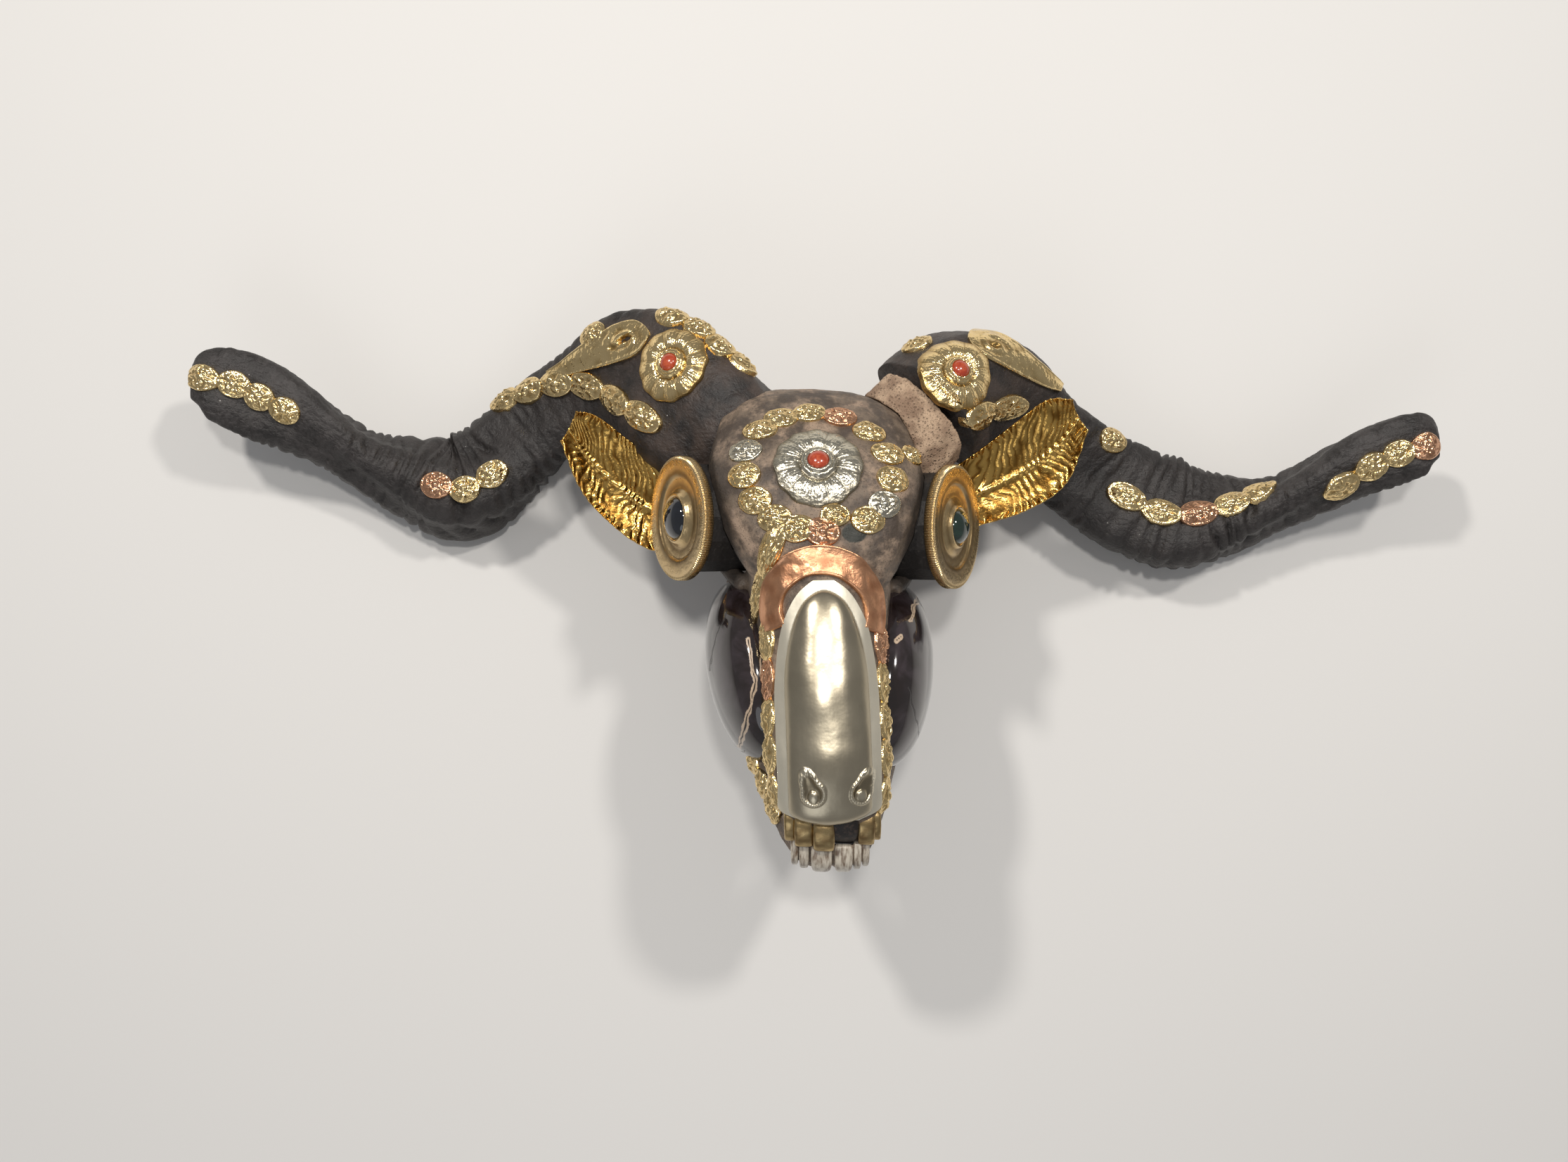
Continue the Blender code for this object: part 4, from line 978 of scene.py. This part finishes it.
def eye(side, name):
    centre, axis = eye_place(side)
    bead = BEAD_RADII[side]
    profile = [(0.001, 0.4), (bead - 1.0, 0.4), (bead - 0.2, 2.6), (bead + 0.9, 3.3), (bead + 2.1, 2.7),
               (bead + 2.6, 0.8), (16.6, 0.3), (17.0, -0.5), (17.6, -0.7), (19.0, -0.6), (23.0, -0.4),
               (24.6, -0.2), (25.0, 0.6), (25.6, 1.0), (26.6, 0.9), (29.0, 1.2), (32.0, 1.5), (33.6, 1.6)]
    profile += [(34.4 + 1.5 * sin(t), 0.1 + 1.5 * cos(t))
                for t in (0.5 * pi * k / 8 for k in range(9))]
    profile += [(35.9, -1.0), (35.9, 0.9 - DISC_THICKNESS), (DISC_RADIUS - 1.0, 1.0 - DISC_THICKNESS - 0.9),
                (0.001, 1.0 - DISC_THICKNESS)]
    points, faces = turned(profile, centre, axis, DISC_STEPS, rim_wave)
    relief = []
    for radius, height in profile:
        bright = 0.35 + 0.25 * sin(radius * 0.9) if radius < 31 else 0.75
        relief += [min(1.0, max(0.1, bright + (0.5 if height > 1.6 else 0.0)))] * DISC_STEPS
    dress(piece_of("eye_disc_%s_turned" % name, points, faces, relief=relief), "eye_disc_" + name,
          disc_brass)
    points, faces = turned(cabochon(bead - 0.1, 1.0, 7.0), centre, axis, 72)
    dress(piece_of("eye_bead_%s_glass" % name, points, faces), "eye_bead_" + name,
          glass_look("eye_glass_" + name, BEAD_COLOURS[side]))


for eye_side, eye_name in SIDE_NAMES.items():
    eye(eye_side, eye_name)


# The eye cups: dull, near black cups, turned and a little scuffed, which hold the discs to the skull. They
# keep the shape of their solids.
def grained_look(name, grain, steps, colours, rough, depth, **fixed):
    """Two colours, and a roughness, that follow one grain: its size, its detail and its stretch."""
    look = Look(name, **fixed)
    size, detail, stretch = grain
    value = look.noise(size, detail, where=look.place((1.0, stretch, stretch)))
    return look.finish(Base_Color=look.mix(value.step(*steps), *colours),
                       Roughness=value * rough[0] + rough[1], Normal=look.bump(value, depth))


cup_material = grained_look("eye_cup", (2.0, 6.0, 1.0), (0.55, 0.80),
                            ((0.014, 0.012, 0.011), (0.0567, 0.0498, 0.0453)), (0.40, 0.35), 0.25)
for cup_node in ("eye_cup_left", "eye_cup_right"):
    cup_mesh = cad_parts[cup_node].data
    cup_mesh.materials.clear()
    cup_mesh.materials.append(cup_material)

# The bone round the cups is darkened with painted shade, and a patch of dark resin marks where the ring on
# the forehead has lost a medallion. Both are kept as shares at the points of the skull.
PATCH_CENTRE = (38.9, 26.6)
PATCH_HALVES = (8.0, 6.2)
CUP_SHADE_REACH = 50.0

skull_places = np.empty(3 * len(skull_piece.data.vertices))
skull_piece.data.vertices.foreach_get("co", skull_places)
skull_places = skull_places.reshape(-1, 3) / MM + np.array(FOOT)
cup_shade_share = np.zeros(len(skull_places))
# Painted shade round each eye cup: the share grows towards the cup's axis, out to the reach.
for shade_side in SIDE_NAMES:
    shade_centre, shade_axis = (np.array(vector) for vector in eye_place(shade_side))
    shade_way = skull_places - shade_centre
    shade_depth = shade_way @ shade_axis
    shade_miss = np.linalg.norm(shade_way - np.outer(shade_depth, shade_axis), axis=1)
    cup_shade_share = np.maximum(cup_shade_share, np.where(shade_depth > -60, (CUP_SHADE_REACH - shade_miss) / 16.0, 0))
patch_way = (skull_places[:, :2] - PATCH_CENTRE) / PATCH_HALVES
patch_share = np.where(skull_places[:, 2] > 90, 1.0 - np.linalg.norm(patch_way, axis=1), 0.0)
for share_name, share_values in (("darkening", cup_shade_share), ("patch", patch_share)):
    kept = skull_piece.data.attributes.new(share_name, "FLOAT", "POINT")
    kept.data.foreach_set("value", np.clip(share_values, 0.0, 1.0))

# Ears: leaf shaped gilt sheet with a midrib, slanting ribs and crimped edges, fixed by their roots behind
# the eye cups. Each pair of rows gives the upper and the lower edge from the root to the tip.
EARS = {
    "ear_left": ([(-56, 60, 104), (-76, 72, 97), (-95, 86, 100), (-113, 99, 108), (-124, 101, 115)],
                 [(-58, 14, 102), (-84, 20, 92), (-106, 35, 92), (-123, 55, 97), (-134, 84, 108)]),
    "ear_right": ([(92, 62, 104), (114, 76, 98), (138, 94, 102), (157, 108, 110), (172, 108, 115)],
                  [(96, 26, 102), (120, 34, 92), (148, 43, 93), (171, 59, 99), (182, 90, 110)]),
}
EAR_DISH = 7.0
EAR_STEPS = 30
EAR_ACROSS = 81
EAR_RIBS = 21
EAR_CRIMPS = 19
EAR_THICKNESS = 0.9


def ear(node, upper, lower):
    upper, lower = smooth_rows(upper, EAR_STEPS), smooth_rows(lower, EAR_STEPS)
    points, relief = [], []
    for index, (high, low) in enumerate(zip(upper, lower)):
        along = index / (len(upper) - 1)
        for k in range(EAR_ACROSS):
            t = k / (EAR_ACROSS - 1)
            v = 2 * t - 1
            here = Vector((5 * along, 1.6 * v, high[0] / 90))
            sway = 1.5 * noise(here) + 0.4 * noise(here * 3.1)
            rib = abs(sin(pi * (EAR_RIBS * along + 2.4 * (1 - abs(v)) + sway))) ** 0.8
            strong = 0.75 + 0.9 * noise(here * 1.7 + Vector((9, 0, 0)))
            middle = bell(v, 0.12, 0.07)
            crimp = bell(abs(v), 1.0, 0.13) * sin(tau * (EAR_CRIMPS * along + sway))
            wave = 2.2 * noise(here * 0.9)
            place = high + (low - high) * t
            rise = strong * rib * (1 - v ** 4) + 0.9 * middle + 1.4 * crimp + wave
            points.append((place[0], place[1], place[2] - EAR_DISH * 4 * t * (1 - t) + rise))
            relief.append(clamp(0.05 + 0.7 * rib * strong + 0.4 * middle + 0.4 * abs(crimp)))
    piece = piece_of(node + "_sheet", points, grid_faces(len(upper), EAR_ACROSS, False), relief=relief)
    sheet = piece.modifiers.new("sheet", "SOLIDIFY")
    sheet.thickness = EAR_THICKNESS * MM
    sheet.offset = 0.0
    dress(piece, node, metals["gilt_ears"])


for ear_node, (ear_upper, ear_lower) in EARS.items():
    ear(ear_node, ear_upper, ear_lower)

# Cheek shells: thick dark shell, ground to a hollow dome and polished like glass, and glued over the cheeks
# below the eyes. A few cracks have cream edges where the dark layer has chipped.
SHELL_BROWN = (0.013, 0.008, 0.007)
SHELL_VIOLET = (0.042, 0.031, 0.036)
SHELL_CREAM = (0.50, 0.38, 0.27)
SHELL_CENTRE = (41.0, 137.0, -6.0)
SHELL_RADII = (26.0, 57.0, 50.0)
SHELL_LEAN = radians(9.0)
SHELL_THICKNESS = 5.0
SHELL_INNER_SIDE = 29.0
SHELL_RINGS = 110
SHELL_SPOKES = 260
CRACK_WOBBLE = 6.0
WOBBLE_SHIFTS = [Vector((0.0, 0.0, 0.0)), Vector((31.4, 17.2, 5.6)), Vector((7.9, 43.1, 29.8))]
# Lines of the cracks, seen from above: the first ones of each side have cream edges, the second are dark.
CRACKS = {
    -1: ([[(-20.5, -33), (-18.2, -46), (-16.2, -56), (-18.5, -69), (-22, -82), (-26, -96)],
          [(-12, -40), (-12.5, -52)]], [[(-33, -18), (-40, -34), (-43, -52)], [(-22, -98), (-30, -104)]]),
    1: ([[(80, -9), (78.6, -12), (75, -14.5), (75, -19), (71.5, -23)], [(66, -31), (63, -34)]],
        [[(70.5, -60), (72.5, -70), (76, -80), (78.8, -92)], [(81, -14), (88, -24), (91, -40)]]),
}


def line_distance(places, lines):
    """How far each place is from the nearest of some lines, seen from above, in millimetres."""
    nearest = np.full(len(places), 99.0)
    for line in lines:
        for start, end in zip(line, line[1:]):
            run, way = np.subtract(end, start), places[:, :2] - start
            share = np.clip(way @ run / (run @ run), 0.0, 1.0)
            nearest = np.minimum(nearest, np.linalg.norm(way - np.outer(share, run), axis=1))
    return nearest


def shell_look():
    look = Look("shell", roughness=0.12, coat_weight=0.7, coat_roughness=0.04)
    cloud = look.noise(20.0, 4.0, distortion=0.8)
    fray = look.noise(8.0, 3.0)
    pale, dark = look.stored("pale_crack"), look.stored("dark_crack")
    lip = 1.0 - (pale + fray * 3.6 - 1.8).step(1.1, 1.5)
    crack = 1.0 - (pale + fray * 0.8 - 0.4).step(0.15, 0.40) * (dark + fray * 0.8 - 0.4).step(0.25, 0.6)
    colour = look.mix(cloud.step(0.42, 0.75), SHELL_BROWN, SHELL_VIOLET)
    colour = look.mix(lip, colour, SHELL_CREAM)
    colour = look.mix(crack, colour, (0.010, 0.007, 0.006))
    rough = cloud * 0.10 + 0.05 + crack * 0.5 + lip * 0.25
    normal = look.bump(1.0 - crack - lip * 0.3, 0.5)
    return look.finish(Base_Color=colour, Roughness=rough, Normal=normal)


def cheek_shell(side, name):
    across, front, top = SHELL_CENTRE
    centre = skull_point(side * across, front, top)
    lean = Matrix.Rotation(-side * SHELL_LEAN, 3, TOP)
    points = []
    for inward, rows in ((0.0, range(SHELL_RINGS)), (SHELL_THICKNESS, range(SHELL_RINGS - 1, -1, -1))):
        wide, long, deep = (radius - inward for radius in SHELL_RADII)
        reach = acos((SHELL_INNER_SIDE - across) / wide)
        for row in rows:
            down = max(0.001, reach * row / (SHELL_RINGS - 1))
            for angle in angles(SHELL_SPOKES):
                wave = sin(down)
                way = (SIDE * (side * wide * cos(down)) + FRONT * (long * wave * cos(angle))
                       + TOP * (deep * wave * sin(angle)))
                ripple = 0.35 * noise(way / 22.0)
                points.append(centre + lean @ (way * (1 + ripple / 50)))
    places = np.array(points)
    wobble = np.array([[noise(point / CRACK_WOBBLE + shift) for shift in WOBBLE_SHIFTS] for point in points])
    pale, dark = CRACKS[side]
    faces = grid_faces(2 * SHELL_RINGS, SHELL_SPOKES, True)
    piece = piece_of("cheek_shell_%s_polished" % name, points, faces,
                     pale_crack=line_distance(places + wobble, pale),
                     dark_crack=line_distance(places + wobble, dark))
    dress(piece, "cheek_shell_" + name, shell_material)


shell_material = shell_look()
for shell_side, shell_name in SIDE_NAMES.items():
    cheek_shell(shell_side, shell_name)

# Teeth: cast brass blocks in the upper jaw, with a gap where one is lost, and worn, stained blades of real
# enamel in the lower jaw. They stand in dark sockets: near black blocks behind them, which fill the gaps.
LEFT_TEETH = [(-22.4, 3.1), (-14.7, 5.3), (-3.8, 6.0)]
RIGHT_TEETH = [(19.9, 4.7), (25.8, 2.5)]
INCISORS = [(-19.8, 2.2), (-14.6, 2.9), (-5.0, 6.0), (7.4, 5.2), (15.2, 2.3), (20.1, 2.1)]
# Rows of front, top, share of the half width and half thickness, from the root of a tooth to its edge.
BRASS_TOOTH = [(236, 7, 0.9, 2.4), (243.5, 3, 1.0, 3.1), (247.6, -3, 1.0, 2.9), (249.6, -8.8, 0.95, 2.1)]
INCISOR = [(247.2, -36, 0.66, 3.2), (251, -28, 0.88, 3.3), (251.6, -20, 0.97, 3), (247.4, -9.2, 0.96, 1.6)]
UPPER_GUM = [(228, 10, 15, 8), (240, 1, 14, 5), (242.5, -9, 13, 3)]
LOWER_GUM = [(240, -30, 17, 5), (244, -22, 17, 4), (243, -12, 15, 2)]
BLADE_STEPS = 7
BLADE_SIDES = 28
BLADE_POWER = 4.0
BLADE_END = 0.86
ENAMEL_PALE = (0.62, 0.56, 0.46)
ENAMEL_STAIN = (0.16, 0.105, 0.065)


def blade(path, across):
    """A tooth: rows of front, top, half width and half thickness, from its root to its edge."""
    path, sides = smooth_rows(path, BLADE_STEPS), BLADE_SIDES
    points = []
    for index, (front, top, half, thick) in enumerate(path):
        run, rise = heading(path, index)[:2]
        length = hypot(run, rise)
        end = 1.0 if index < len(path) - 1 else BLADE_END
        for angle in angles(sides):
            x, y = rounded(angle, BLADE_POWER)
            points.append(skull_point(across + half * x * end, front - thick * end * y * rise / length,
                                      top + thick * end * y * run / length))
    last = (len(path) - 1) * sides
    return points, grid_faces(len(path), sides, True) + [tuple(range(last, last + sides))]


def gather(blades):
    points, faces = [], []
    for blade_points, blade_faces in blades:
        faces += [tuple(v + len(points) for v in face) for face in blade_faces]
        points += blade_points
    return points, faces


def teeth(shape, bend, places):
    """Teeth of one shape in a row that bends back, from how far across each is and its half width."""
    return gather([blade([(front - bend * across * across, top, half * share, thick)
                          for front, top, share, thick in shape], across) for across, half in places])


tooth_brass = metal_look("tooth_brass", (0.20, 0.125, 0.055), (0.66, 0.50, 0.25), 0.22, 0.40, crumple=0.2)
for teeth_node, teeth_places in (("brass_teeth_left", LEFT_TEETH), ("brass_teeth_right", RIGHT_TEETH)):
    teeth_points, teeth_faces = teeth(BRASS_TOOTH, 0.012, teeth_places)
    teeth_relief = [0.35 + 0.3 * noise(point / 3.0) for point in teeth_points]
    teeth_piece = piece_of(teeth_node + "_cast", teeth_points, teeth_faces, relief=teeth_relief)
    dress(teeth_piece, teeth_node, tooth_brass)
gum_piece = piece_of("tooth_sockets", *gather([blade(UPPER_GUM, 2), blade(LOWER_GUM, 0)]))
incisor_piece = piece_of("incisors", *teeth(INCISOR, 0.011, INCISORS))
socket_material = grained_look("tooth_sockets", (2.5, 5.0, 1.0), (0.45, 0.75),
                               ((0.010, 0.007, 0.006), (0.060, 0.040, 0.030)), (0.40, 0.30), 0.4)
enamel_material = grained_look("enamel", (2.2, 5.0, 0.25), (0.30, 0.62), (ENAMEL_STAIN, ENAMEL_PALE),
                               (0.30, 0.22), 0.2, coat_weight=0.2)
for bone_piece, bone_material in ((gum_piece, socket_material), (incisor_piece, enamel_material)):
    bone_piece.data.materials.append(bone_material)
    bone_piece.data.shade_smooth()
    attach(bone_piece, "root")
